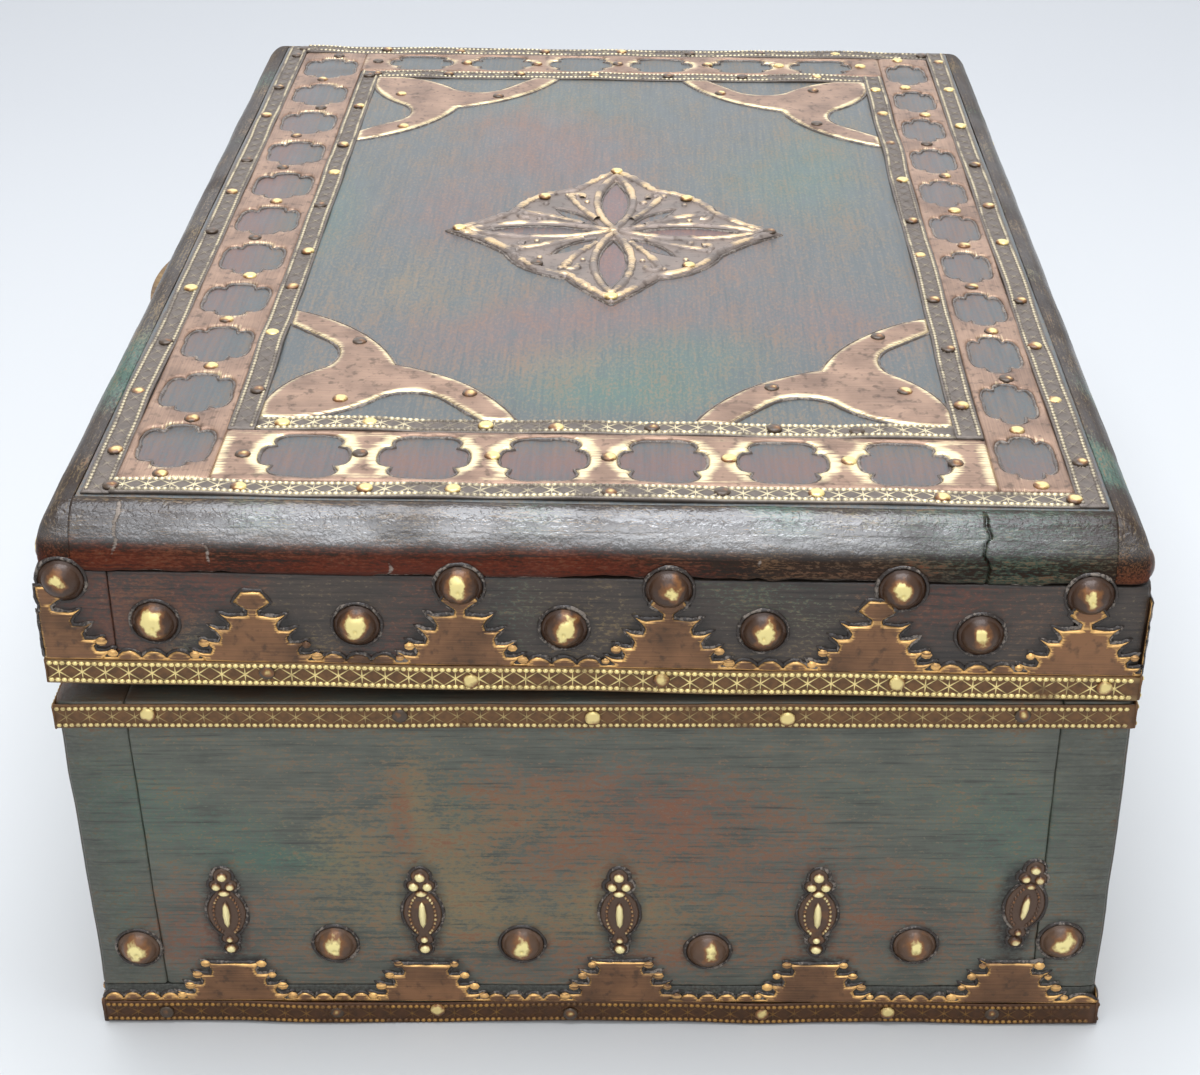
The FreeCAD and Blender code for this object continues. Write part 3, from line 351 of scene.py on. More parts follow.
case_paint = painted_wood("green and red paint on hardwood, shellacked", "#696a5f", "#4d4f46", "#7d796d",
                          "#80452f", 0.36, 0.3, 0.45, (0.6, 1.05, 0.75))
rim_paint = painted_wood("dark green and red paint on the lid rim", "#52463d", "#342e2a", "#6f675e",
                         "#6b3a2b", 0.36, 0.4, 0.65, (0.66, 1.0, 0.75))
lid_paint = painted_wood("green and red paint on the lid, shellacked", "#575c5d", "#4e5353", "#777978",
                         "#80544d", 0.36, 0.14, 0.06, (0.45, 1.15, 0.65))

# Soft patches of colour on the end that shows: along, up, reach along, reach up, and the rub's strength
END_RED = [(92, 52, 30, 14, 0.3), (128, 49, 30, 14, 0.4), (72, 60, 2.4, 13, 0.45), (30, 36, 20, 10, 0.3),
           (110, 68, 50, 9, 0.3), (180, 30, 36, 10, 0.4), (110, 20, 70, 9, 0.45), (140, 60, 26, 10, 0.35),
           (24, 24, 16, 10, 0.45), (166, 44, 30, 8, 0.3)]
END_OCHRE = [(84, 46, 14, 18, 0.75), (74, 66, 6, 12, 0.7), (104, 60, 16, 10, 0.6), (58, 50, 10, 14, 0.6),
             (118, 40, 12, 12, 0.6), (110, 28, 80, 12, 0.5), (140, 54, 20, 14, 0.4)]
END_TEAL = [(12, 64, 18, 16, 0.5), (46, 47, 18, 5, 0.75), (206, 56, 16, 18, 0.45), (160, 66, 34, 8, 0.35),
            (8, 30, 6, 20, 0.5), (84, 62, 9, 14, 0.6), (36, 56, 16, 8, 0.4), (190, 40, 24, 14, 0.3)]
# The same for the lid top, with the first two numbers along X and Y
TOP_RED = [(70, -28, 22, 26, 0.5), (-50, -14, 30, 26, 0.6), (-83, -27, 18, 20, 0.5), (17, 24, 32, 26, 0.45),
           (-8, -42, 24, 16, 0.5), (61, 57, 20, 18, 0.45), (57, 4, 12, 30, 0.5), (132, 0, 9, 110, 0.9),
           (-10, -94, 120, 9, 0.8), (-10, 90, 120, 8, 0.5), (25, 2, 16, 6, 1.0), (-15, 2, 16, 6, 1.0),
           (5, 22, 6, 16, 0.8), (5, -18, 6, 16, 0.6)]
TOP_OCHRE = [(40, -50, 20, 12, 0.4), (84, -10, 8, 14, 0.45)]
TOP_TEAL = [(93, 0, 16, 24, 0.6), (76, 21, 16, 20, 0.6), (-7, -74, 34, 10, 0.6), (-29, 47, 30, 22, 0.6),
            (-92, -22, 20, 30, 0.6), (53, -34, 12, 12, 0.4), (100, 9, 10, 28, 0.5), (-60, 60, 34, 12, 0.45)]


def patches(first, second, spots):
    """How strongly the soft patches colour each place."""
    strength = np.zeros(len(first))
    for centre, middle, reach, height, share in spots:
        strength += share * np.exp(-((first - centre) / reach) ** 2 - ((second - middle) / height) ** 2)
    return np.clip(strength, 0, 1)


def brush_patches(places, size, seed, share):
    """Loose patches of a colour, where no view of the box fixes them."""
    return np.clip((rough(places, size, seed) - 0.05) * 2.2, 0, 1) * share


def near_points(places, spots, radius, reach):
    """Closeness to round spots: 1 at their rims, fading outwards over the reach."""
    closeness = np.zeros(len(places))
    for spot in spots:
        gap = np.linalg.norm(places - np.array(spot), axis=1) - radius
        closeness = np.maximum(closeness, np.exp(-np.maximum(gap, 0) / reach))
    return closeness


# Where the brass stands on the walls: merlons, the spindles above them and the domed nails
LID_FIRST, LID_PITCH = 1.5, 42.8
CASE_FIRST, CASE_PITCH = 31.0, 44.2
STRIP_TOP = 6.5
MERLON_WIDTH, MERLON_TOP, MERLON_HEIGHT = 27.0, 12.0, 12.0
DOME_RADIUS = 4.5
SPINDLE_HEIGHT, SPINDLE_WIDTH, SPINDLE_GAP = 25.0, 8.7, 2.0
CASE_DOME_LEVEL, LID_DOME_LEVEL, LID_DOME_HIGH = 23.5, 16.0, 25.8
SHANK = 9.0
HINGE_OFFSET, HINGE_HALF, TRIM_GAP, LEAF_HEIGHT = 85.0, 18.0, 0.5, 15.0
HINGE_MIDDLES = (HALF_LENGTH - HINGE_OFFSET, HALF_LENGTH + HINGE_OFFSET)
HASP_HALF, HASP_PLATE_HALF = 19.0, 12.0
LOST_NAIL = ("right", 1)
# How far the nails of the end that shows stand from their even places, along and up, as shares of the head
CASE_SET = {("right", 0): (0.1, -0.15), ("right", 1): (0.2, 0), ("right", 3): (-0.25, -0.2),
            ("right", 5): (-0.45, 0.15)}
UPPER_SET = {("right", 4): (0.5, 0.1)}
LOWER_SET = {("right", 0): (0.1, 0), ("right", 3): (-0.2, 0)}


def merlon_places(side, first, pitch):
    """Where the merlons stand along a side."""
    return [first + pitch * number for number in range(int((SIDES[side][3] - first) // pitch) + 1)]


def hinge_gaps():
    """The stretches of the back that the hinges cover."""
    reach = HINGE_HALF + TRIM_GAP
    return [(middle - reach, middle + reach) for middle in HINGE_MIDDLES]


def corner_clear(side):
    """How far a side's nails keep from its corners, on the long sides clear of the other nails' shanks."""
    return DOME_RADIUS + (SHANK if side in LONG_SIDES else 1)


def keep_on(side, along):
    """A nail's place, kept clear of the corners."""
    return min(max(along, corner_clear(side)), SIDES[side][3] - corner_clear(side))


def set_by_eye(side, number, along, level, settings):
    """A nail's place along a side and its level, as the hand that drove it left them."""
    shift, lift = settings.get((side, number), (0, 0))
    return keep_on(side, along) + shift * 2 * DOME_RADIUS, level + lift * 2 * DOME_RADIUS


def case_domes(side):
    """The case's domed nails on a side: along and up."""
    merlons = merlon_places(side, CASE_FIRST, CASE_PITCH)
    between = [merlons[0] - CASE_PITCH / 2] + [along + CASE_PITCH / 2 for along in merlons]
    spots = [set_by_eye(side, number, along, CASE_DOME_LEVEL, CASE_SET)
             for number, along in enumerate(between)]
    room = SPINDLE_WIDTH / 2 + DOME_RADIUS + TRIM_GAP
    return [spot for spot in spots if all(abs(spot[0] - along) > room for along in merlons)]


def lid_domes(side):
    """The lid's domed nails on a side: along, and up from the rim's foot."""
    merlons = merlon_places(side, LID_FIRST, LID_PITCH)
    spots = [set_by_eye(side, number, along, LID_DOME_HIGH, UPPER_SET) for number, along in enumerate(merlons)
             if (side, number) != LOST_NAIL]
    spots += [set_by_eye(side, number, along + LID_PITCH / 2, LID_DOME_LEVEL, LOWER_SET)
              for number, along in enumerate(merlons)
              if along + LID_PITCH / 2 < SIDES[side][3] - corner_clear(side)]
    covers = {"back": [gap + (LEAF_HEIGHT,) for gap in hinge_gaps()],
              "front": [(HALF_LENGTH - HASP_HALF, HALF_LENGTH + HASP_HALF, LID_UNDER - CASE_TOP)]}
    return [(along, level) for along, level in spots
            if not any(start - DOME_RADIUS < along < end + DOME_RADIUS and level - DOME_RADIUS < top
                       for start, end, top in covers.get(side, []))]


def wall_grime_and_shade(side, along, up, case):
    """Dirt and painted shade on a wall: along its strips and round its merlons, spindles and nails."""
    flat = np.column_stack([along, up, np.zeros(len(along))])
    height = CASE_TOP if case else LID_UNDER - CASE_TOP
    dirt = 0.9 * np.exp(-np.abs(up - STRIP_TOP) / 2.2)
    if case:
        dirt = np.maximum(dirt, 0.7 * np.exp(-np.abs(up - (height - STRIP_TOP)) / 1.6))
        # Darker towards the case's corners, dirt with painted shade
        dirt = np.maximum(dirt, 0.5 * np.exp(-np.minimum(along, SIDES[side][3] - along) / 24))
    else:
        joint = np.clip(0.9 + 1.6 * rough(flat, 9, 17), 0.2, 2.2)
        dirt = np.maximum(dirt, 0.95 * np.exp(-np.abs(up - height) / joint))
    nails = case_domes(side) if case else lid_domes(side)
    dirt = np.maximum(dirt, near_points(flat, [(a, u, 0) for a, u in nails], DOME_RADIUS, 1.5))
    first, pitch = (CASE_FIRST, CASE_PITCH) if case else (LID_FIRST, LID_PITCH)
    for centre in merlon_places(side, first, pitch):
        share = np.clip((up - STRIP_TOP) / MERLON_HEIGHT, 0, 1)
        half = MERLON_WIDTH / 2 - (MERLON_WIDTH - MERLON_TOP) / 2 * share
        gap = np.maximum(np.abs(along - centre) - half, up - STRIP_TOP - MERLON_HEIGHT)
        dirt = np.maximum(dirt, np.exp(-np.maximum(gap, 0) / 1.8))
        if case:
            middle = STRIP_TOP + MERLON_HEIGHT + SPINDLE_GAP + SPINDLE_HEIGHT / 2
            oval = np.hypot((along - centre) / (SPINDLE_WIDTH / 2), (up - middle) / (SPINDLE_HEIGHT / 2))
            dirt = np.maximum(dirt, np.exp(-np.maximum(oval - 0.9, 0) * 3.2))
    return dirt


def wall_board(name, node, side, low, high, body, seed):
    """One board on edge, worn and painted, with its patches, and its dirt and painted shade."""
    long_way = 0 if side in LONG_SIDES else 1
    pitch = [BOARD_PITCH] * 3
    pitch[1 - long_way] = 3.0
    points, faces = board_shell(low, high, pitch)
    radius = EDGE_WEAR * (1 + 0.5 * rough(points, 9, seed))
    ripple = 0.12 * rough(points, 22, seed + 1) + 0.04 * rough(points, 4, seed + 2)
    places = soften(points, low, high, radius, ripple)
    places = round_corners(places, CORNER_ROUND * (1 + 0.6 * rough(points, 14, 5)))
    case = body == "case"
    up = points[:, 2] - (0 if case else CASE_TOP)
    to_end, to_long = HALF_LENGTH - np.abs(points[:, 0]), HALF_WIDTH - np.abs(points[:, 1])
    outer = np.minimum(to_end, to_long) < 1
    along, grime_and_shade, tint = np.zeros(len(points)), np.zeros(len(points)), np.zeros((len(points), 3))
    # A long board shows on three sides of the box, so each point follows the side that it lies on
    for seen, (corner, direction, out, _) in SIDES.items():
        across = 1 if seen in LONG_SIDES else 0
        here = (to_end < to_long) == (across == 0)
        here &= (points[:, across] > 0) == (sum(out) > 0)
        run = ((points[:, :2] - np.array(corner)) * np.array(direction)).sum(axis=1)[here]
        along[here] = run
        grime_and_shade[here] = wall_grime_and_shade(seen, run, up[here], case)
        if seen == "right" and case:
            rubs = [patches(run, up[here], spots) for spots in (END_RED, END_OCHRE, END_TEAL)]
        else:
            rubs = [brush_patches(points[here], 34, 3, 0.7), brush_patches(points[here], 26, 4, 0.4),
                    brush_patches(points[here], 38, 5, 0.5)]
        tint[here] = np.column_stack(rubs)
    corner_gap = np.maximum(to_end, to_long)
    worn = np.maximum(0.9 * np.exp(-corner_gap / 1.8), 0.8 * np.exp(-(high[2] - points[:, 2]) / 1.2))
    grain = np.column_stack([along, points[:, 2], 40.0 * seed + np.minimum(to_end, to_long)])
    piece(name, places, faces, case_paint if case else rim_paint, body, [node], "painted_wood",
          {"grime_and_shade": grime_and_shade * outer, "edge": np.where(outer, worn, 0.9)}, {"grain": grain, "tint": tint})


INNER_LENGTH, INNER_WIDTH = HALF_LENGTH - BOARD, HALF_WIDTH - BOARD
WALLS = {
    "front": ((-HALF_LENGTH, -HALF_WIDTH), (HALF_LENGTH, -INNER_WIDTH)),
    "back": ((-HALF_LENGTH, INNER_WIDTH), (HALF_LENGTH, HALF_WIDTH)),
    "left": ((-HALF_LENGTH, -INNER_WIDTH), (-INNER_LENGTH, INNER_WIDTH)),
    "right": ((INNER_LENGTH, -INNER_WIDTH), (HALF_LENGTH, INNER_WIDTH)),
}
for number, (side, (near, far)) in enumerate(WALLS.items()):
    wall_board(f"{side}_wall", f"case_{side}_board", side, near + (BOTTOM,), far + (CASE_TOP,), "case",
               number + 1)
    wall_board(f"{side}_lid_wall", f"lid_{side}_rim", side, near + (CASE_TOP,), far + (LID_UNDER,), "lid",
               number + 11)

# Bottom board
# One wide board nailed up under the walls. Its edges show below them as a thin painted line.
bottom_low, bottom_high = (-HALF_LENGTH, -HALF_WIDTH, 0.0), (HALF_LENGTH, HALF_WIDTH, BOTTOM)
points, faces = board_shell(bottom_low, bottom_high, (3.0, 3.0, 2.5))
places = soften(points, bottom_low, bottom_high, EDGE_WEAR * (1 + 0.5 * rough(points, 9, 31)),
                -0.06 * np.abs(rough(points, 20, 32)))
places = round_corners(places, CORNER_ROUND * (1 + 0.6 * rough(points, 14, 5)))
bottom_edge = np.where(points[:, 2] > 0.5, np.exp(-points[:, 2] / 3), 1.0)
# Dirt and painted shade darken the bottom's edges and upper face, and its underside a little
piece("bottom", places, faces, case_paint, "case", ["bottom_board"], "painted_wood",
      {"grime_and_shade": np.where(points[:, 2] > 0.5, 0.75, 0.2), "edge": bottom_edge},
      {"grain": points + np.array([0, 400, 0]), "tint": np.zeros_like(points)})

# Lid panel and edging
# A flat panel with a thick rounded nosing nailed round it. The lacquer is heaviest on the nosing, where it
# has crazed and caught the light; a shrinkage crack crosses the nosing of the right end.
CRACK_ALONG = 80.0
CRACK_ROWS = (-2.0, -1.0, -0.5, -0.25, 0.0, 0.25, 0.5, 1.0, 2.0)
CRACK_DEPTH = 1.4
# Shallow scars with dust in them: where along the nosing, and how far down it they start and end
DUSTY_CRACKS = ((-97.0, -2.0, 11.0), (-78.0, 5.0, 12.0), (-45.0, 6.0, 10.0), (-41.0, 9.0, 15.0),
                (34.0, 7.0, 11.0))
SLAB_CORNER = 4
VARNISH_DROPS = (0.0, 1.2, 2.2, 4.0, 5.8, 6.8, 8.0)
VARNISH_SHARES = (0.28, 0.36, 0.7, 0.9, 0.95, 0.3, 0.03)


def round_slab(points):
    """Points of the lid slab, drawn in to its rounded top edges and its squarer upright corners."""
    inner = np.array([HALF_LENGTH - EDGING_ROUND, HALF_WIDTH - EDGING_ROUND])
    flat = np.maximum(np.abs(points[:, :2]) - inner, 0) / EDGING_ROUND
    rise = np.maximum(points[:, 2] - (LID_TOP - EDGING_DROP), 0) / EDGING_DROP
    plan = (flat[:, 0] ** SLAB_CORNER + flat[:, 1] ** SLAB_CORNER) ** (1 / SLAB_CORNER)
    reach = np.hypot(plan, rise)
    share = np.where(reach > 1e-9, np.maximum(flat.max(axis=1), rise) / np.maximum(reach, 1e-9), 1.0)
    moved = points.copy()
    core = np.clip(points[:, :2], -inner, inner)
    moved[:, :2] = core + np.sign(points[:, :2]) * flat * share[:, None] * EDGING_ROUND
    moved[:, 2] = np.minimum(points[:, 2], LID_TOP - EDGING_DROP) + rise * share * EDGING_DROP
    return moved


edging_paint = painted_wood("thick crazed lacquer over red and green paint", "#342314", "#20140c", "#51433a",
                            "#66240d", 0.5, 0.5, 0.6, (0.6, 1.05, 0.8), 0.12)
PANEL_X, PANEL_Y = HALF_LENGTH - EDGING, HALF_WIDTH - EDGING
EDGINGS = {
    "front": ((-HALF_LENGTH, -HALF_WIDTH), (HALF_LENGTH, -PANEL_Y)),
    "back": ((-HALF_LENGTH, PANEL_Y), (HALF_LENGTH, HALF_WIDTH)),
    "left": ((-HALF_LENGTH, -PANEL_Y), (-PANEL_X, PANEL_Y)),
    "right": ((PANEL_X, -PANEL_Y), (HALF_LENGTH, PANEL_Y)),
}
for number, (side, (near, far)) in enumerate(EDGINGS.items()):
    low, high = near + (LID_UNDER,), far + (LID_TOP,)
    long_way = 0 if side in LONG_SIDES else 1
    pitch = [0.9, 0.9, 0.9]
    pitch[long_way] = 2.0
    extra = None
    if side == "right":
        crack_places = [CRACK_ALONG] + [place for place, _, _ in DUSTY_CRACKS]
        extra = {1: [place + row for place in crack_places for row in CRACK_ROWS]}
    points, faces = board_shell(low, high, pitch, extra)
    seed = 41 + 5 * number
    ripple = 0.22 * rough(points, 26, seed) + 0.07 * rough(points, 5, seed + 1)
    radius = 0.08 * (1 + 0.7 * rough(points, 7, seed + 2))
    places = round_slab(soften(points, low, high, radius, ripple))
    # The nosing has shrunk away from the rim in places, which leaves a wandering crack
    way = np.column_stack([points[:, long_way], np.zeros((len(points), 2))])
    shrunk = np.clip(0.35 + 0.9 * rough(way, 21, seed + 8) + 0.5 * rough(way, 3.5, seed + 9), 0, 1.2)
    to_face = np.minimum(HALF_LENGTH - np.abs(points[:, 0]), HALF_WIDTH - np.abs(points[:, 1]))
    places[:, 2] += 1.2 * shrunk * np.exp(-(points[:, 2] - LID_UNDER) / 1.2) * (to_face < 3)
    dust = np.zeros(len(points))
    if side == "right":
        outside = points[:, 0] > HALF_LENGTH - 7
        sunk = LID_TOP - points[:, 2]
        for place, head, foot in ((CRACK_ALONG, -2.0, 15.0),) + DUSTY_CRACKS:
            depth = CRACK_DEPTH if place == CRACK_ALONG else 0.3
            wander = rough(np.column_stack([points[:, 2], points[:, 0], np.full(len(points), place)]), 3, 60)
            gap = np.abs(points[:, 1] - place)
            within_ends = np.clip((sunk - head) / 1.5, 0, 1) * np.clip((foot - sunk) / 1.5, 0, 1) * outside
            cut = np.exp(-(gap / 0.22) ** 2) * within_ends
            places[:, 1] += 1.3 * wander * np.exp(-(gap / 3) ** 2)
            places[:, 0] -= depth * cut
            places[:, 2] -= 0.5 * depth * cut * (sunk < 1)
            if depth < CRACK_DEPTH:
                dust = np.maximum(dust, np.exp(-(gap / 0.6) ** 2) * within_ends * (0.85 + 0.6 * wander))
    along = points[:, long_way]
    down = LID_TOP - points[:, 2]
    red = np.clip((down - 3) / 8, 0, 1) * (0.7 + 0.7 * rough(points, 30, seed + 3))
    green = brush_patches(points, 26, seed + 4, 0.7)
    if side == "right":
        green = np.maximum(green, 0.45 * np.exp(-((points[:, 1] - 82) / 26) ** 2))
        red *= 1 - 0.7 * np.exp(-((points[:, 1] - 90) / 22) ** 2)
    tint = np.column_stack([np.clip(red, 0, 1), brush_patches(points, 20, seed + 3, 0.3), green])
    level, across = points[:, 2], points[:, 1 - long_way]
    grain = np.column_stack([along, level + across, 60.0 * number + level - across])
    rim = np.minimum(points[:, 2] - LID_UNDER, 30)
    nails = [(along_side, level - (LID_UNDER - CASE_TOP), 0) for along_side, level in lid_domes(side)]
    corner, direction, _, _ = SIDES[side]
    run = (points[:, 0] - corner[0]) * direction[0] + (points[:, 1] - corner[1]) * direction[1]
    # Dirt and painted shade darken the nosing's foot, where it meets the rim, and the nosing beside the rim's
    # nails
    grime_and_shade = np.maximum(0.8 * np.exp(-rim / 0.9), near_points(np.column_stack([run, rim, 0 * run]), nails,
                                                            DOME_RADIUS, 1.2))
    dust = np.maximum(dust, 0.8 * np.exp(-rim / 0.5) * (rough(points, 11, seed + 6) > 0))
    # The varnish lies thickest half way down the round, thins towards the corners and has worn off the face
    drop = LID_TOP - places[:, 2]
    varnish = np.interp(drop, VARNISH_DROPS, VARNISH_SHARES)
    varnish *= np.clip(0.9 + 0.7 * rough(points, 12, seed + 7), 0, 1)
    half = HALF_LENGTH if long_way == 0 else HALF_WIDTH
    varnish *= (1 - 0.4 * (along / half) ** 2) * (1 - 0.4 * np.exp(-((half - np.abs(along)) / 26) ** 2))
    if side == "right":
        varnish *= 1 - 0.4 * np.exp(-((along - 96) / 30) ** 2)
    piece(f"{side}_edging", places, faces, edging_paint, "lid", [f"lid_{side}_edging"], "painted_wood",
          {"grime_and_shade": grime_and_shade, "edge": 0.6 * np.exp(-rim / 1.2), "dust": dust, "varnish": varnish},
          {"grain": grain, "tint": tint})

panel_low, panel_high = (-PANEL_X, -PANEL_Y, LID_UNDER), (PANEL_X, PANEL_Y, LID_TOP)
points, faces = board_shell(panel_low, panel_high, (BOARD_PITCH, BOARD_PITCH, 4.0))
ripple = 0.18 * rough(points, 40, 71) + 0.04 * rough(points, 5, 72)
places = soften(points, panel_low, panel_high, np.full(len(points), 0.4), np.minimum(ripple, 0.15))
tint = np.column_stack([patches(points[:, 0], points[:, 1], spots)
                        for spots in (TOP_RED, TOP_OCHRE, TOP_TEAL)])
upper_face = points[:, 2] > LID_TOP - 2
tint[~upper_face] = 0.3
TOP_INSET, STRIP_WIDTH = 9.0, 6.0
BORDER = {"front": 19.5, "back": 15.5, "right": 22.5, "left": 17.0}
border_x, border_y = HALF_LENGTH - TOP_INSET - STRIP_WIDTH, HALF_WIDTH - TOP_INSET - STRIP_WIDTH
field_left, field_right = -(border_x - BORDER["left"]), border_x - BORDER["right"]
field_front, field_back = -(border_y - BORDER["front"]), border_y - BORDER["back"]
# Dirt and painted shade darken the panel beside the inner frame of strip and, less, under the borders and
# outer strips
frame_gap = np.minimum(np.abs(points[:, 0] - field_left), np.abs(points[:, 0] - field_right))
for line in (field_front, field_back):
    frame_gap = np.minimum(frame_gap, np.abs(points[:, 1] - line))
outer_gap = np.minimum(border_x - np.abs(points[:, 0]), border_y - np.abs(points[:, 1]))
panel_grime_and_shade = np.maximum(0.6 * np.exp(-frame_gap / 7), np.where(outer_gap < 24, 0.35, 0.0)) * upper_face
piece("lid_top", places, faces, lid_paint, "lid", ["lid_panel"], "painted_wood",
      {"grime_and_shade": panel_grime_and_shade, "edge": np.where(upper_face, 0, 0.9)}, {"grain": points, "tint": tint})

# Embossed strips
# Thin brass ribbon rolled with a bead row along each edge and six-rayed stars between. It is tarnished dark
# in the hollows and rubbed bright on the beads, and it has buckled a little between its tacks.
PLATE_THICKNESS = 0.42
BEAD_PITCH, BEAD_HALF, BEAD_HEIGHT, BEAD_INSET = 1.35, (0.69, 0.56), 0.48, 0.9
STAR_PITCH, STAR_RISE, RIDGE_HALF = 4.9, 1.75, 0.25
RIDGE_HEIGHT, RIDGE_END = 0.26, 0.1
STRIP_REVEAL = 0.5
# The strip's section: across it, and out from what it lies on
STRIP_SECTION = ((0.0, 0.0), (0.0, 0.30), (0.25, 0.42), (1.5, 0.40), (3.0, 0.36), (4.5, 0.40), (5.75, 0.42),
                 (6.0, 0.30), (6.0, 0.0))
hidden = []


def hidden_object(name, points, faces):
    """A small shape to copy. It is deleted once the copies are made."""
    mesh = bpy.data.meshes.new(name)
    mesh.from_pydata([list(point) for point in points], [], faces)
    mesh.polygons.foreach_set("use_smooth", [True] * len(mesh.polygons))
    hidden.append(bpy.data.objects.new(name, mesh))
    return hidden[-1]


def ring_faces(rings, sides):
    """Faces between neighbouring rings of points."""
    return [(ring * sides + side, ring * sides + (side + 1) % sides, (ring + 1) * sides + (side + 1) % sides,
             (ring + 1) * sides + side) for ring in range(rings - 1) for side in range(sides)]


def half_ball(across, up, out, sides, rings):
    """A flattened half ball on the plane: points and faces."""
    points = []
    for ring in range(rings):
        lift = math.pi / 2 * ring / rings
        for side in range(sides):
            turn = 2 * math.pi * side / sides
            points.append((across * math.cos(lift) * math.cos(turn), up * math.cos(lift) * math.sin(turn),
                           out * math.sin(lift)))
    last, crown = len(points) - sides, len(points)
    caps = [(last + side, last + (side + 1) % sides, crown) for side in range(sides)]
    return points + [(0, 0, out)], ring_faces(rings, sides) + caps


def star_ridges():
    """Six raised rays: four to the corners of their tile and two across the strip."""
    points, faces = [], []
    corners = [(across * STAR_PITCH / 2, up * STAR_RISE) for across in (-1, 1) for up in (-1, 1)]
    for x, y in corners + [(0, STAR_RISE), (0, -STAR_RISE)]:
        length = math.hypot(x, y)
        side_x, side_y = -y / length * RIDGE_HALF, x / length * RIDGE_HALF
        start = len(points)
        points += [(side_x, side_y, 0), (x + side_x * 0.6, y + side_y * 0.6, 0),
                   (x - side_x * 0.6, y - side_y * 0.6, 0), (-side_x, -side_y, 0), (0, 0, RIDGE_HEIGHT),
                   (x, y, RIDGE_END)]
        faces += [(start, start + 4, start + 5, start + 1), (start + 3, start + 2, start + 5, start + 4)]
    return points, faces


def start_tree(name, **sockets):
    """A geometry node tree with these inputs: the tree, the sockets that give them, and their identifiers."""
    tree = bpy.data.node_groups.new(name, "GeometryNodeTree")
    tree.interface.new_socket("Geometry", in_out="OUTPUT", socket_type="NodeSocketGeometry")
    ids = {key: tree.interface.new_socket(key, in_out="INPUT", socket_type="NodeSocket" + kind).identifier
           for key, kind in sockets.items()}
    return tree, add(tree, "NodeGroupInput").node.outputs, ids


def end_tree(tree, copies, material):
    """The end of a geometry node tree: the copies made real, in their material."""
    real = add(tree, "GeometryNodeRealizeInstances", {0: copies})
    done = add(tree, "GeometryNodeSetMaterial", {"Geometry": real, "Material": material})
    add(tree, "NodeGroupOutput", {0: done})


def strip_relief_tree(bead, star):
    """Geometry nodes that lay two bead rows and a row of stars along a strip of a given length."""
    tree, given, ids = start_tree("embossed strip", Length="Float", Material="Material")
    joined = add(tree, "GeometryNodeJoinGeometry")
    for shape, pitch, across in ((bead, BEAD_PITCH, STRIP_WIDTH - BEAD_INSET), (bead, BEAD_PITCH, BEAD_INSET),
                                 (star, STAR_PITCH, STRIP_WIDTH / 2)):
        count = add(tree, "Math", {0: given["Length"], 1: pitch}, operation="DIVIDE")
        start = (pitch / 2, across, PLATE_THICKNESS - 0.04)
        line = add(tree, "GeometryNodeMeshLine", {"Count": count, "Start Location": start,
                                                  "Offset": (pitch, 0, 0)})
        source = add(tree, "GeometryNodeObjectInfo", {"Object": shape}, "Geometry")
        copies = add(tree, "GeometryNodeInstanceOnPoints", {"Points": line, "Instance": source})
        tree.links.new(copies, joined.node.inputs[0])
    end_tree(tree, joined, given["Material"])
    return tree, ids


def grown_mesh(tree, settings, base):
    """The plain mesh that a node tree makes from a base mesh with these inputs."""
    maker = bpy.data.objects.new("maker", base)
    bpy.context.collection.objects.link(maker)
    modifier = maker.modifiers.new("nodes", "NODES")
    modifier.node_group = tree
    for key, value in settings.items():
        modifier[key] = value
    graph = bpy.context.evaluated_depsgraph_get()
    made = bpy.data.meshes.new_from_object(maker.evaluated_get(graph), preserve_all_data_layers=True,
                                           depsgraph=graph)
    maker.modifiers.remove(modifier)
    bpy.data.objects.remove(maker)
    return made


def mesh_points(mesh):
    """A mesh's points as an array, and its faces as lists."""
    points = np.empty(len(mesh.vertices) * 3, np.float32)
    mesh.vertices.foreach_get("co", points)
    return points.reshape(-1, 3).astype(float), [list(face.vertices) for face in mesh.polygons]


def put_at(shape, place):
    """A shape's points, moved to a place, and its faces."""
    return np.array(shape[0], float) + np.array(place), shape[1]


def join(parts):
    """Shapes as one: all their points, their faces renumbered, and any values that go with the points."""
    points, faces, *values = zip(*parts)
    starts = np.cumsum([0] + [len(part) for part in points]).tolist()
    joined = [[corner + start for corner in face] for start, part in zip(starts, faces) for face in part]
    return np.vstack(points), joined, *(np.concatenate(value) for value in values)


def end_material(tree, colour, metal, shine, height, strength, depth):
    """The end of a material: its shader, over a fine relief."""
    relief = add(tree, "Bump", {"Strength": strength, "Distance": depth, "Height": height})
    shader = add(tree, "BsdfPrincipled", {"Base Color": colour, "Metallic": metal, "Roughness": shine,
                                          "Normal": relief})
    add(tree, "OutputMaterial", {"Surface": shader})


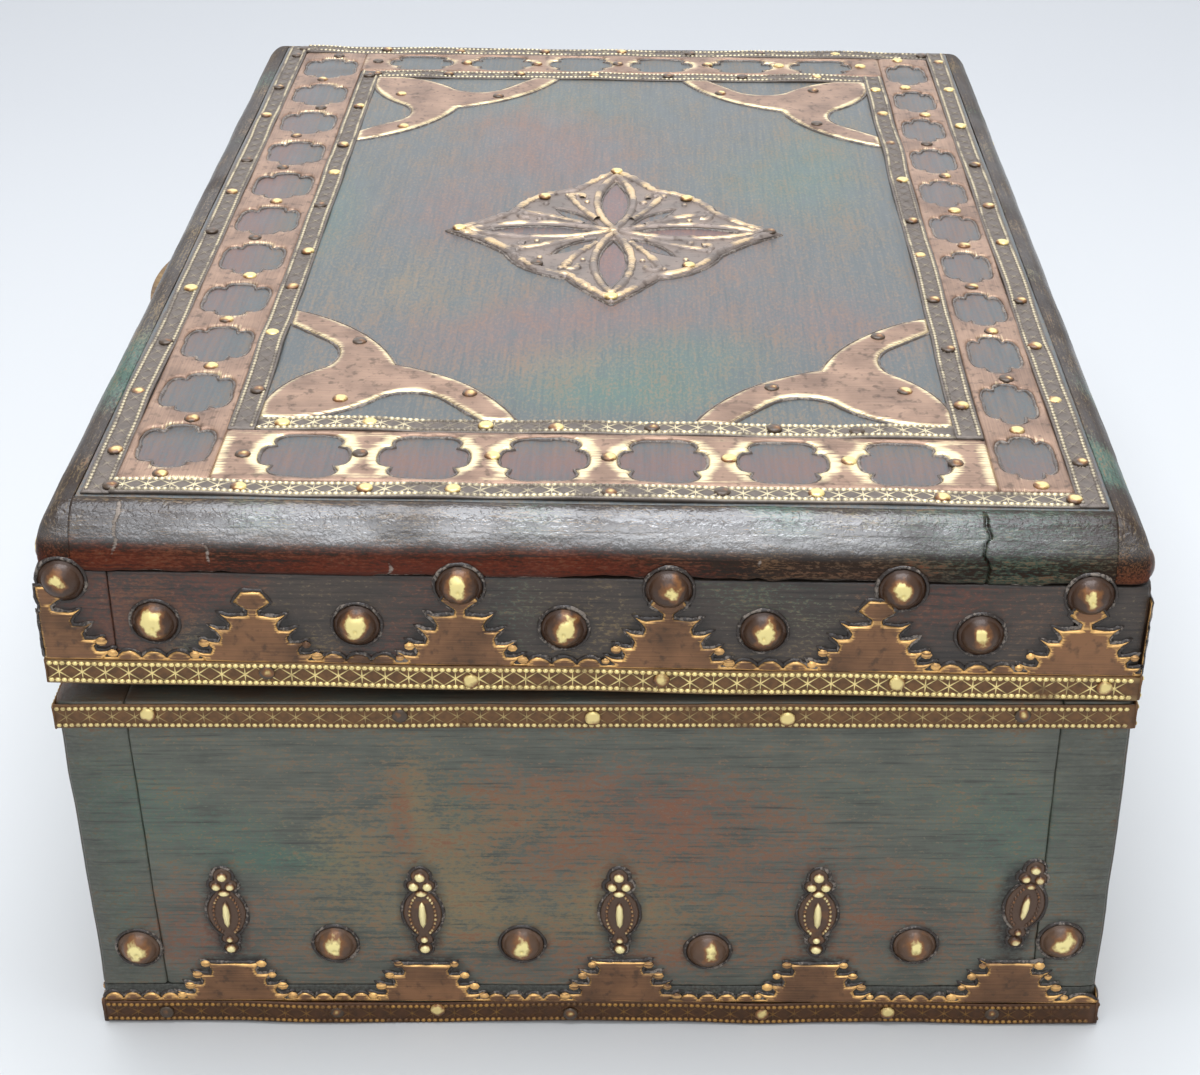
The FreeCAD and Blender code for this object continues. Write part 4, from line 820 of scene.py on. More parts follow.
def embossed_brass(name, start, polish, hollow_dark, hollow_light, gold):
    """Rolled sheet brass: dark tarnish in the hollows, gold where beads and stars are rubbed."""
    material, tree = start_material(name)
    relief = add(tree, "Attribute", out="Fac", attribute_name="relief")
    place = add(tree, "TexCoord", out="Object")
    # Rubbed stretches of about 30 mm and 6 mm, broken by grains of 1.5 mm
    wide = add(tree, "TexNoise", {"Vector": place, "Scale": 1 / 0.03, "Detail": 2.0})
    near = add(tree, "TexNoise", {"Vector": place, "Scale": 1 / 0.006, "Detail": 2.0})
    grain = add(tree, "TexNoise", {"Vector": place, "Scale": 1 / 0.0015, "Detail": 3.0})
    both = add(tree, "Math", {0: wide, 1: near}, operation="ADD")
    rubbed = add(tree, "MapRange", {0: both, 1: start, 2: start + 0.2, 3: 0.12, 4: polish})
    height = add(tree, "MapRange", {0: relief, 1: 0.1, 2: 0.5})
    broken = add(tree, "MapRange", {0: grain, 1: 0.25, 2: 0.5, 3: 0.5, 4: 1.0})
    bright = add(tree, "Math", {0: height, 1: rubbed}, operation="MULTIPLY")
    bright = add(tree, "Math", {0: bright, 1: broken}, operation="MULTIPLY")
    hollow, _ = lay(tree, linear(hollow_dark), hollow_light, grain, 0, 1)
    colour, _ = lay(tree, hollow, gold, bright, 0, 1)
    metal = add(tree, "MapRange", {0: bright, 3: 0.3, 4: 0.5})
    shine = add(tree, "MapRange", {0: bright, 3: 0.5, 4: 0.3})
    end_material(tree, colour, metal, shine, grain, 0.4, 0.0002)
    return material


strip_brass = embossed_brass("embossed brass, rubbed", 0.71, 1.0, "#3f2c1a", "#855c35", "#fae29a")
base_brass = embossed_brass("embossed brass, brown with dirt", 0.84, 0.6, "#33200f", "#5f3a1b", "#e0a850")
top_brass = embossed_brass("embossed brass on the lid, tarnished", 0.8, 0.85, "#443d38", "#776b61", "#f0dfb4")
bead_object = hidden_object("bead", *half_ball(*BEAD_HALF, BEAD_HEIGHT, 6, 2))
star_object = hidden_object("star", *star_ridges())
strip_tree, strip_ids = strip_relief_tree(bead_object, star_object)


def strip_shape(length, seed, sway, lift):
    """A strip laid flat from the origin: points along, across and out, its faces and its relief."""
    ticks = np.linspace(0, length, max(3, int(length / 1.6)))
    rows = len(STRIP_SECTION)
    points = np.array([(along, across, out) for along in ticks for across, out in STRIP_SECTION])
    ends = [tuple(range(rows))[::-1], tuple(range(len(points) - rows, len(points)))]
    faces = [face[::-1] for face in ring_faces(len(ticks), rows) + ends]
    settings = {strip_ids["Length"]: float(length), strip_ids["Material"]: strip_brass}
    raised = mesh_points(grown_mesh(strip_tree, settings, bpy.data.meshes.new("strip base")))
    points, faces = join([(points, faces), raised])
    relief = np.clip((points[:, 2] - 0.36) / 0.36, 0, 1)
    way = np.column_stack([points[:, 0], np.full(len(points), seed * 50.0), np.zeros(len(points))])
    points[:, 1] += sway * rough(way, 38, seed) + 0.3 * sway * rough(way, 13, seed + 1)
    points[:, 2] += lift * np.maximum(rough(way, 24, seed + 2) + 0.15, 0) * (points[:, 2] > 0.05)
    return points, faces, relief


def runs_between(start, end, gaps):
    """The stretches from start to end that the gaps leave."""
    return list(zip([start] + [after for _, after in gaps], [before for before, _ in gaps] + [end]))


# The strips on the walls: their piece, body and CAD node, their level, seed, and how they sway and lift.
# The lid's are the most handled.
STRIP_LEVELS = (("base_strip", "case", "base_strip", STRIP_REVEAL, 100, 0.7, 0.8),
                ("top_strip", "case", "top_strip", CASE_TOP - STRIP_REVEAL - STRIP_WIDTH, 150, 0.35, 0.25),
                ("lid_strip", "lid", "rim_strip", CASE_TOP + STRIP_REVEAL, 200, 0.4, 0.3))
WALL_POLISH = {"case": 0.42, "lid": 1.0}
for number, side in enumerate(SIDES):
    wrap = PLATE_THICKNESS if side in LONG_SIDES else 0.0
    for name, body, node, level, seed, sway, lift in STRIP_LEVELS:
        low_down = level < BOTTOM
        gaps = hinge_gaps() if side == "back" and not low_down else []
        parts = []
        for part, (start, end) in enumerate(runs_between(-wrap, SIDES[side][3] + wrap, gaps)):
            points, faces, relief = strip_shape(end - start, seed + 10 * number + 3 * part, sway, lift)
            points[:, 0] += start
            parts.append((on_side(side, points, level), faces, WALL_POLISH[body] * relief))
        points, faces, relief = join(parts)
        piece(f"{side}_{name}", points, faces, base_brass if low_down else strip_brass, body,
              [f"{body}_{side}_{node}"], "embossed_brass", {"relief": relief})

# On the lid top, the strips of the right end are the most handled, those along the front and back the least
TOP_POLISH = {"right": 1.0, "left": 0.45, "front": 0.3, "back": 0.3}
top_x, top_y = HALF_LENGTH - TOP_INSET, HALF_WIDTH - TOP_INSET
TOP_RINGS = {"outer": (-top_x, top_x, -top_y, top_y),
             "inner": (field_left, field_right, field_front, field_back)}
RING_SEEDS = {"outer": 300, "inner": 350}
for ring, (left, right, front, back) in TOP_RINGS.items():
    runs = {"front": (left, right, front), "back": (left, right, back - STRIP_WIDTH),
            "left": (front + STRIP_WIDTH, back - STRIP_WIDTH, left),
            "right": (front + STRIP_WIDTH, back - STRIP_WIDTH, right - STRIP_WIDTH)}
    for number, (side, (start, end, across)) in enumerate(runs.items()):
        points, faces, relief = strip_shape(end - start, RING_SEEDS[ring] + 10 * number, 0.5, 1.0)
        places = np.column_stack([start + points[:, 0], across + points[:, 1], LID_TOP + points[:, 2]])
        if side not in LONG_SIDES:
            places[:, 0], places[:, 1] = across + STRIP_WIDTH - points[:, 1], start + points[:, 0]
        piece(f"{side}_{ring}_strip", places, faces, top_brass, "lid", [f"lid_{side}_{ring}_strip"],
              "embossed_brass", {"relief": relief * TOP_POLISH[side]})

# Stepped cresting
# Sheet brass cut with a chisel into a band of stepped merlons with hooked treads and small scallops between.
# It is nailed flat on the wall above a strip; the cut edges are turned down and rubbed bright.
FRET_THICKNESS, FRET_PITCH = 0.6, 1.2
RIM, EDGE_REACH = 0.5, 1.1
SCALLOP, SCALLOP_FOOT, SCALLOP_CROWN = 4.2, 0.7, 2.3
CRESTING_FOOT = 0.6
# Each hook's reach from the merlon's middle and its height, from the lowest up
MERLON_EARS = ((13.3, 2.3), (11.2, 5.2), (9.1, 8.5), (6.9, 11.8))
# The cap on a lid merlon, from its neck up: reach from the middle, and height above the merlon
MERLON_CAP = ((1.2, 0.0), (1.0, 1.3), (3.9, 3.4), (2.0, 6.0))
CHUNK = 400


def arc_points(start, middle, end, count):
    """Points along the circle through three points, without the last one."""
    ax, ay, bx, by, cx, cy = *start, *middle, *end
    scale = 2 * (ax * (by - cy) + bx * (cy - ay) + cx * (ay - by))
    if abs(scale) < 1e-9:
        return [(ax + (cx - ax) * step / count, ay + (cy - ay) * step / count) for step in range(count)]
    squares = (ax * ax + ay * ay, bx * bx + by * by, cx * cx + cy * cy)
    ox = (squares[0] * (by - cy) + squares[1] * (cy - ay) + squares[2] * (ay - by)) / scale
    oy = (squares[0] * (cx - bx) + squares[1] * (ax - cx) + squares[2] * (bx - ax)) / scale
    first, mid, last = (math.atan2(y - oy, x - ox) for x, y in (start, middle, end))
    turn = 2 * math.pi
    sweep = (last - first) % turn
    if (mid - first) % turn > sweep:
        sweep -= turn
    radius = math.hypot(ax - ox, ay - oy)
    angles = [first + sweep * step / count for step in range(count)]
    return [(ox + radius * math.cos(angle), oy + radius * math.sin(angle)) for angle in angles]


def close_rows(loop, pitch):
    """An outline with points no further apart than the pitch, and no doubled ones."""
    dense = []
    for (x0, y0), (x1, y1) in zip(loop, loop[1:] + loop[:1]):
        length = math.hypot(x1 - x0, y1 - y0)
        if length < 1e-4:
            continue
        steps = max(1, round(length / pitch))
        dense += [(x0 + (x1 - x0) * step / steps, y0 + (y1 - y0) * step / steps) for step in range(steps)]
    return dense


def outline_gap(points, starts, ends):
    """Each point's distance to the nearest outline edge."""
    best = np.full(len(points), 1e9)
    run = ends - starts
    squared = (run ** 2).sum(axis=1)
    for first in range(0, len(points), CHUNK):
        arm = points[first:first + CHUNK, None, :] - starts[None]
        share = np.clip((arm * run[None]).sum(axis=2) / squared[None], 0, 1)
        best[first:first + CHUNK] = np.linalg.norm(arm - share[..., None] * run[None], axis=2).min(axis=1)
    return best


def within(points, starts, ends):
    """Whether each point lies inside the outlines, counting crossings."""
    found = np.zeros(len(points), bool)
    run = ends - starts
    rise = np.where(run[:, 1] == 0, 1e-12, run[:, 1])
    for first in range(0, len(points), CHUNK):
        x, y = points[first:first + CHUNK, 0, None], points[first:first + CHUNK, 1, None]
        above = (starts[None, :, 1] > y) != (ends[None, :, 1] > y)
        cross = starts[None, :, 0] + (y - starts[None, :, 1]) / rise[None] * run[None, :, 0]
        found[first:first + CHUNK] = ((above & (x < cross)).sum(axis=1) % 2).astype(bool)
    return found


def fret(loops, thickness, pitch):
    """A pierced plate with turned-down edges: points across, up and out, faces, and gaps to the edges."""
    loops = [close_rows(loop, 0.8) for loop in loops]
    links = []
    for loop in loops:
        first = len(links)
        links += [(first + step, first + (step + 1) % len(loop)) for step in range(len(loop))]
    outline = np.array([point for loop in loops for point in loop])
    starts, ends = outline, outline[[after for _, after in links]]
    tangent = ends - starts
    tangent /= np.linalg.norm(tangent, axis=1, keepdims=True)
    inward = np.column_stack([-tangent[:, 1], tangent[:, 0]]) * RIM
    middles = (starts + ends) / 2
    rim_row = np.vstack([middles + inward, middles - inward])
    rim_row = rim_row[within(rim_row, starts, ends)]
    rim_row = rim_row[outline_gap(rim_row, starts, ends) > RIM * 0.85]
    low, high = outline.min(axis=0), outline.max(axis=0)
    grid = np.array([(x + (row % 2) * pitch / 2, y)
                     for row, y in enumerate(np.arange(low[1], high[1], pitch * 0.87))
                     for x in np.arange(low[0], high[0], pitch)])
    grid = grid[within(grid, starts, ends)]
    grid = grid[outline_gap(grid, starts, ends) > RIM + pitch * 0.45]
    corners = [Vector(point) for point in np.vstack([outline, rim_row, grid])]
    flat, _, triangles, _, _, _ = delaunay_2d_cdt(corners, links, [], 0, 1e-5, False)
    flat = np.array([(corner.x, corner.y) for corner in flat])
    triangles = np.array([list(triangle) for triangle in triangles])
    kept = triangles[within(flat[triangles].mean(axis=1), starts, ends)]
    one, two, three = (flat[kept[:, corner]] for corner in range(3))
    backwards = np.cross(two - one, three - one) < 0
    kept[backwards] = kept[backwards][:, ::-1]
    gap = outline_gap(flat, starts, ends)
    slope = np.clip(gap / RIM, 0, 1)
    count = len(flat)
    top = np.column_stack([flat, thickness * (0.4 + 0.6 * np.sqrt(1 - (1 - slope) ** 2))])
    bottom = np.column_stack([flat, np.zeros(count)])
    seen = {(start, end) for triangle in kept.tolist()
            for start, end in zip(triangle, triangle[1:] + triangle[:1])}
    walls = [(end, start, start + count, end + count)
             for start, end in sorted(seen) if (end, start) not in seen]
    faces = kept.tolist() + (kept[:, ::-1] + count).tolist() + walls
    return np.vstack([top, bottom]), faces, np.concatenate([gap, gap])


def pierced_brass(name, tarnish, copper, bright, metallic, wear):
    """Sheet brass gone coppery brown, brushed along its length and rubbed bright at its cut edges."""
    material, tree = start_material(name)
    edge = add(tree, "Attribute", out="Fac", attribute_name="edge")
    brush = add(tree, "Attribute", out="Vector", attribute_name="brush")
    place = add(tree, "TexCoord", out="Object")
    # Brush lines 0.35 mm apart and 14 mm long, cloudy tarnish of 9 mm, and dark stains of 2 mm
    brush_way = add(tree, "VectorMath", {0: brush, 1: (1 / 14, 1 / 0.35, 1)}, operation="MULTIPLY")
    streak = add(tree, "TexNoise", {"Vector": brush_way, "Scale": 1.0, "Detail": 3.0})
    cloud = add(tree, "TexNoise", {"Vector": place, "Scale": 1 / 0.009, "Detail": 4.0})
    stain = add(tree, "TexNoise", {"Vector": place, "Scale": 1 / 0.002, "Detail": 3.0})
    warm = add(tree, "Math", {0: streak, 1: 0.5, 2: cloud}, operation="MULTIPLY_ADD")
    colour, _ = lay(tree, linear(tarnish), copper, warm, 0.55, 0.95)
    colour, _ = lay(tree, colour, "#3a2a1f", stain, 0.56, 0.7, 0.6)
    worn = add(tree, "Math", {0: edge, 1: cloud}, operation="MULTIPLY")
    worn = add(tree, "Math", {0: worn, 1: streak}, operation="MULTIPLY")
    colour, worn = lay(tree, colour, bright, worn, wear, wear + 0.12)
    metal = add(tree, "MapRange", {0: worn, 3: metallic, 4: metallic + 0.25})
    shine = add(tree, "MapRange", {0: worn, 3: 0.48, 4: 0.3})
    end_material(tree, colour, metal, shine, streak, 0.35, 0.0002)
    return material


wall_fret_brass = pierced_brass("pierced brass, brown tarnish", "#5d4029", "#8b6140", "#f2bd74", 0.3, 0.13)


def merlon_tips(merlons, steps):
    """Where the lowest hooks of each merlon end: along and up from the cresting's foot."""
    return [(middle + hand * (reach - 0.5), head - 0.6)
            for middle in merlons for reach, head in MERLON_EARS[:steps] for hand in (-1, 1)]


def merlon_side(caps):
    """One half of a merlon, from its foot up: hollow steps that end in a hook, out from the middle."""
    half, foot = [], 0.0
    for reach, head in MERLON_EARS:
        half += [(reach - 1.6, foot), (reach - 2.0, foot + (head - foot) * 0.4), (reach - 1.3, head - 0.9),
                 (reach + 0.4, head + 0.7), (reach - 0.3, head + 0.35), (reach - 1.2, head - 0.1),
                 (reach - 2.2, head - 0.2)]
        foot = head - 0.2
    return half + [(reach, MERLON_HEIGHT + rise) for reach, rise in MERLON_CAP if caps]


def cresting_loop(start, end, merlons, caps):
    """The outline of one run of cresting: a straight foot, merlons and scallops."""
    top = []
    reach = MERLON_WIDTH / 2
    edges = [start] + [edge for along in merlons for edge in (along - reach, along + reach)] + [end]
    half = merlon_side(caps)
    for number in range(len(merlons) + 1):
        left, right = edges[2 * number], edges[2 * number + 1]
        count = int(max(right - left, 0) // SCALLOP)
        for scallop in range(count):
            first, last = (left + (right - left) * (scallop + share) / count for share in (0, 1))
            foot, crown = (last - 0.15, SCALLOP_FOOT), ((first + last) / 2, SCALLOP_CROWN)
            top += arc_points((first + 0.15, SCALLOP_FOOT), crown, foot, 7) + [foot]
        if number < len(merlons):
            # No two were cut quite alike
            middle = merlons[number]
            chance = random.Random(round(7 * middle + start))
            left_share, right_share, rise = (chance.uniform(0.93, 1.03) for _ in range(3))
            top += [(middle - out * left_share, up * rise) for out, up in half]
            top += [(middle + out * right_share, up * rise) for out, up in reversed(half)]
    top = [(min(max(along, start), end), max(up, CRESTING_FOOT)) for along, up in top]
    return [(start, 0.0), (end, 0.0), (end, CRESTING_FOOT)] + top[::-1] + [(start, CRESTING_FOOT)]


def wall_fret(name, node, side, loops, tips, level, body, seed):
    """A run of cresting on one side, a little uneven, with the tips of its hooks hammered up into lumps."""
    parts = [fret([loop], FRET_THICKNESS, FRET_PITCH) for loop in loops]
    chance = random.Random(seed)
    for along, up in tips:
        size = chance.uniform(0.9, 1.35)
        points, faces = put_at(half_ball(size, size * 0.85, 0.55, 7, 2), (along, up, 0.4))
        parts.append((points, faces, np.full(len(points), chance.uniform(0.0, 0.4))))
    points, faces, gap = join(parts)
    points[:, 2] += 0.22 * np.maximum(rough(points, 9, seed), 0) * (points[:, 2] > 0.05)
    brush = np.column_stack([points[:, :2], np.full(len(points), seed * 3.0)])
    piece(name, on_side(side, points, level), faces, wall_fret_brass, body, [node], "pierced_brass",
          {"edge": np.clip(1 - gap / EDGE_REACH, 0, 1)}, {"brush": brush})


def clear_of(merlons, gaps):
    """The merlons that stand clear of what covers the wall."""
    reach = MERLON_WIDTH / 2
    return [along for along in merlons if not any(start - reach < along < end + reach for start, end in gaps)]


cresting_outlines = {"case": [], "lid": []}
for number, side in enumerate(SIDES):
    length = SIDES[side][3]
    merlons = merlon_places(side, CASE_FIRST, CASE_PITCH)
    case_loop = cresting_loop(0.0, length, merlons, False)
    cresting_outlines["case"].append((side, STRIP_TOP, case_loop))
    wall_fret(f"{side}_cresting", f"case_{side}_cresting", side, [case_loop], merlon_tips(merlons, 4),
              STRIP_TOP, "case", 400 + number)
    gaps = hinge_gaps() if side == "back" else []
    covers = gaps
    if side == "front":
        covers = [(HALF_LENGTH - HASP_PLATE_HALF, HALF_LENGTH + HASP_PLATE_HALF)]
    merlons = clear_of(merlon_places(side, LID_FIRST, LID_PITCH), covers)
    runs = runs_between(0.0, length, gaps)
    loops = [cresting_loop(start, end, [along for along in merlons if start <= along <= end], True)
             for start, end in runs]
    cresting_outlines["lid"] += [(side, CASE_TOP + STRIP_TOP, loop) for loop in loops]
    tips = [(along, up) for along, up in merlon_tips(merlons, 2)
            if any(start + 1.4 < along < end - 1.4 for start, end in runs)]
    wall_fret(f"{side}_lid_cresting", f"lid_{side}_cresting", side, loops, tips, CASE_TOP + STRIP_TOP, "lid",
              420 + number)

# Spindles
# Pressed brass ornaments nailed above the case's merlons: an oval with two beaded ribs and an almond boss,
# three balls above and two below. Only the highest parts are rubbed bright.
SPINDLE_LEVEL = STRIP_TOP + MERLON_HEIGHT + SPINDLE_GAP
# The balls on the sheet: their half width, half height and rise, and their places across, up and out
SPINDLE_BALLS = (((1.35, 1.25, 1.1), (0, 2.0, 0.35)), ((0.95, 0.85, 0.9), (0, 4.6, 0.35)),
                 ((1.25, 1.2, 1.0), (-1.55, 19.9, 0.35)), ((1.25, 1.2, 1.0), (1.55, 19.9, 0.35)),
                 ((1.35, 1.3, 1.1), (0, 22.6, 0.35)), ((1.5, 0.9, 0.9), (0, 18.0, 0.35)))
# One spindle of the end that shows was nailed high and leans
SPINDLE_SET = {("right", 4): (2.6, math.radians(-8))}


def copies_tree():
    """Geometry nodes that put a shape at each point of a mesh, turned and rubbed as the points say."""
    tree, given, ids = start_tree("nailed copies", Geometry="Geometry", Shape="Object", Material="Material")
    turn = add(tree, "GeometryNodeInputNamedAttribute", {"Name": "turn"}, "Attribute",
               data_type="FLOAT_VECTOR")
    facing = add(tree, "FunctionNodeEulerToRotation", {0: turn})
    shape = add(tree, "GeometryNodeObjectInfo", {"Object": given["Shape"]}, "Geometry")
    copies = add(tree, "GeometryNodeInstanceOnPoints", {"Points": given["Geometry"], "Instance": shape,
                                                        "Rotation": facing})
    end_tree(tree, copies, given["Material"])
    return tree, ids


copy_tree, copy_ids = copies_tree()
# How a piece drawn across, up and out turns to face out of each side, and out of the lid top
FACING = {"front": (90, 0, 0), "right": (90, 0, 90), "back": (90, 0, 180), "left": (90, 0, 270),
          "top": (0, 0, 0)}


def nailed_copies(name, shape, spots, material, body, stands_for, slot, seed):
    """One piece of many copies of a shape: its points, its faces and how high each point stands.

    A spot is a place in the box's frame, the side that it faces and a turn on it.
    """
    points, faces, relief = shape
    copied = hidden_object(name + " shape", points, faces)
    layer = copied.data.attributes.new("relief", "FLOAT", "POINT")
    layer.data.foreach_set("value", np.asarray(relief, np.float32))
    base = bpy.data.meshes.new(name + " spots")
    base.from_pydata([list(place) for place, _, _ in spots], [], [])
    turns = []
    for _, side, turn in spots:
        facing = Matrix.Identity(3)
        for angle, axis in zip(FACING[side], "XYZ"):
            facing = Matrix.Rotation(math.radians(angle), 3, axis) @ facing
        turns += list((facing @ Matrix.Rotation(turn, 3, "Z")).to_euler())
    base.attributes.new("turn", "FLOAT_VECTOR", "POINT").data.foreach_set("vector", turns)
    chance = random.Random(seed)
    base.attributes.new("rub", "FLOAT", "POINT").data.foreach_set("value", [chance.random() for _ in spots])
    made = grown_mesh(copy_tree, {copy_ids["Shape"]: copied, copy_ids["Material"]: material}, base)
    floats = {}
    for key in ("relief", "rub"):
        floats[key] = np.empty(len(made.vertices), np.float32)
        made.attributes[key].data.foreach_get("value", floats[key])
    piece(name, *mesh_points(made), material, body, stands_for, slot, floats)


def spindle_outline():
    """The spindle's backing sheet: two small balls, an oval and a trefoil."""
    right = arc_points((0, 0.2), (1.6, 1.7), (0.9, 3.2), 6)
    right += arc_points((0.9, 3.2), (2.0, 4.4), (1.3, 5.6), 5)
    right += arc_points((1.3, 5.6), (SPINDLE_WIDTH / 2, 11.8), (1.5, 18.4), 14)
    right += arc_points((1.5, 18.4), (3.2, 20.2), (1.9, 21.6), 6)
    right += arc_points((1.9, 21.6), (1.6, 24.0), (0, 24.8), 5)
    return right + [(0, 24.8)] + [(-x, y) for x, y in right[:0:-1]]


def spindle_shape():
    """One spindle: points, faces and how high each point stands."""
    sheet, sheet_faces, _ = fret([spindle_outline()], 0.45, 1.2)
    parts = [(sheet, sheet_faces), put_at(half_ball(0.95, 3.9, 1.3, 8, 4), (0, 11.9, 0.4))]
    parts += [put_at(half_ball(*size, 8, 3), place) for size, place in SPINDLE_BALLS]
    for hand in (-1, 1):
        for bead in range(11):
            turn = math.radians(-62 + 124 * bead / 10)
            place = (hand * 2.75 * math.cos(turn) + hand * 0.15, 11.9 + 5.7 * math.sin(turn), 0.42)
            parts.append(put_at(half_ball(0.42, 0.5, 0.5, 6, 2), place))
    points, faces = join(parts)
    return points, faces, np.clip((points[:, 2] - 0.45) / 0.9, 0, 1)


def rubbed_brass(name, dull, bright, start, end, spread):
    """Cast or stamped brass: brown tarnish low down, pale yellow metal where hands have polished it."""
    material, tree = start_material(name)
    relief, rub = (add(tree, "Attribute", out="Fac", attribute_name=key) for key in ("relief", "rub"))
    place = add(tree, "TexCoord", out="Object")
    # Polish breaks up in blots of 2.5 mm and scratches of 0.6 mm
    blot = add(tree, "TexNoise", {"Vector": place, "Scale": 1 / 0.0025, "Detail": 3.0})
    grain = add(tree, "TexNoise", {"Vector": place, "Scale": 1 / 0.0006, "Detail": 2.0})
    some = add(tree, "MapRange", {0: rub, 3: -spread, 4: spread})
    uneven = add(tree, "MapRange", {0: blot, 1: 0.3, 2: 0.7, 3: -0.2, 4: 0.2})
    height = add(tree, "Math", {0: relief, 1: some}, operation="ADD")
    height = add(tree, "Math", {0: height, 1: uneven}, operation="ADD")
    colour, _ = lay(tree, linear(dull), "#85552a", height, start - 0.22, start)
    colour, worn = lay(tree, colour, bright, height, start, end)
    metal = add(tree, "MapRange", {0: worn, 3: 0.1, 4: 0.4})
    shine = add(tree, "MapRange", {0: worn, 3: 0.36, 4: 0.34})
    end_material(tree, colour, metal, shine, grain, 0.25, 0.0002)
    return material


def wall_spot(side, along, up, out=0.0, turn=0.0):
    """A spot on a side's face."""
    return on_side(side, [(along, up, out)])[0], side, turn


def spindle_places(side):
    """The spindles of a side: along, up, and how far each leans."""
    places = []
    for number, along in enumerate(merlon_places(side, CASE_FIRST, CASE_PITCH)):
        lift, lean = SPINDLE_SET.get((side, number), (0.0, 0.0))
        places.append((along, SPINDLE_LEVEL + lift, lean))
    return places


spindle_brass = rubbed_brass("pressed brass spindles, rubbed", "#543b29", "#fbe9aa", 0.45, 0.8, 0.18)
spots = [wall_spot(side, along, up, 0.0, lean) for side in SIDES for along, up, lean in spindle_places(side)]
nailed_copies("spindles", spindle_shape(), spots, spindle_brass, "case", ["case_finials"], "pierced_brass", 5)

# Domed nails
# Cast brass nails with a hollow round head and a thin brim, driven over the merlons and between them.
# The crowns are polished pale by handling, the brims have gone brown, and some crowns have a pin hole.
DOME_PROFILE = ((4.75, 0.0), (4.75, 0.22), (4.25, 0.3), (4.05, 0.75), (3.6, 1.5), (2.9, 2.2), (2.0, 2.68),
                (1.0, 2.93), (0.42, 2.98), (0.3, 2.75))
DOME_SIDES = 20
# Each body's domed nails, and the level that they are measured from
DOMES = {"case": (case_domes, 0.0), "lid": (lid_domes, CASE_TOP)}


def turned_shape(profile, sides):
    """A round shape turned from a profile of radius and height, closed at the top and the foot."""
    turns = [2 * math.pi * side / sides for side in range(sides)]
    points = [(radius * math.cos(turn), radius * math.sin(turn), rise)
              for radius, rise in profile for turn in turns]
    ends = [tuple(range(len(points) - sides, len(points))), tuple(range(sides))[::-1]]
    return points, ring_faces(len(profile), sides) + ends


dome_points, dome_faces = turned_shape(DOME_PROFILE, DOME_SIDES)
dome_relief = [max(0.0, 1 - math.hypot(x, (y - 0.9) / 1.35) / 4.0) for x, y, _ in dome_points]
dome_brass = {
    "case": rubbed_brass("domed brass nails of the case, polished", "#5e4431", "#f6e49c", 0.52, 0.72, 0.12),
    "lid": rubbed_brass("domed brass nails of the lid, polished", "#432b1a", "#f3df95", 0.58, 0.72, 0.12),
}
for body, (domes, level) in DOMES.items():
    chance = random.Random(11)
    spots = [wall_spot(side, along, up + level, 0.0, chance.uniform(-0.35, 0.35))
             for side in SIDES for along, up in domes(side)]
    nailed_copies(f"{body}_domes", (dome_points, dome_faces, dome_relief), spots, dome_brass[body], body,
                  [f"{body}_dome_nails"], "domed_brass", 21)

# Pierced borders
# Four lengths of sheet brass on the lid top between the two frames of strip, chiselled through with a row of
# six-lobed openings that show the painted wood.
FOIL_LENGTH, FOIL_PITCH, FOIL_MARGIN, FOIL_LOBES = 19.8, 25.2, 1.3, 6
FOIL_CUSPS, FOIL_SQUARENESS = (0.78, 0.95, 0.78), 0.78
top_fret_brass = pierced_brass("pierced brass, coppery and brushed", "#796050", "#a4856f", "#fbe6b6", 0.45,
                               0.12)


def foil(half_along, half_across, seed):
    """A six-lobed opening about the origin, cut a little unevenly: points along the border and across it."""
    chance = random.Random(seed)
    lobe = 2 * math.pi / FOIL_LOBES
    loop = []
    for number in range(FOIL_LOBES):
        middle = number * lobe
        swell = chance.uniform(0.97, 1.03)
        for step in range(8):
            share = step / 8
            turn = middle - lobe / 2 + lobe * share
            # The cusps beside the two end lobes are deep, the ones between the others shallow
            before, after = FOIL_CUSPS[(number + 2) % 3], FOIL_CUSPS[number % 3]
            cusp = before + (after - before) * share
            reach = (cusp + (1 - cusp) * math.sin(math.pi * share) ** 0.55) * swell
            along, across = math.cos(turn), math.sin(turn)
            loop.append((half_along * reach * math.copysign(abs(along) ** FOIL_SQUARENESS, along),
                         half_across * reach * math.copysign(abs(across) ** FOIL_SQUARENESS, across)))
    return loop


def swung(points, angle, middle=(0, 0)):
    """Points in plan, turned about the origin and then moved to a middle."""
    cosine, sine = math.cos(angle), math.sin(angle)
    return [(middle[0] + cosine * x - sine * y, middle[1] + sine * x + cosine * y) for x, y in points]


def border_row(span, more):
    """Places along the middle of a border at the pitch of its openings, as many as those and some more."""
    left, right, front, back = span
    length, width = right - left, back - front
    count = int((max(length, width) - 2 * FOIL_MARGIN - FOIL_LENGTH) // FOIL_PITCH) + 1 + more
    x, y = (left + right) / 2, (front + back) / 2
    shifts = [(number - (count - 1) / 2) * FOIL_PITCH for number in range(count)]
    return [(x + shift, y) if length > width else (x, y + shift) for shift in shifts]


def border_loops(span, seed):
    """A border's outline and its row of openings."""
    left, right, front, back = span
    half_across = min(right - left, back - front) / 2 - FOIL_MARGIN
    angle = 0.0 if right - left > back - front else math.pi / 2
    openings = [swung(foil(FOIL_LENGTH / 2, half_across, seed + number), angle, middle)
                for number, middle in enumerate(border_row(span, 0))]
    return [[(left, front), (right, front), (right, back), (left, back)]] + openings


def lie_on_lid(points):
    """Plates drawn in plan, laid on the lid top with small bulges."""
    laid = points.copy()
    laid[:, 2] = LID_TOP + points[:, 2] + 0.3 * np.maximum(rough(points, 14, 77), 0) * (points[:, 2] > 0.05)
    return laid


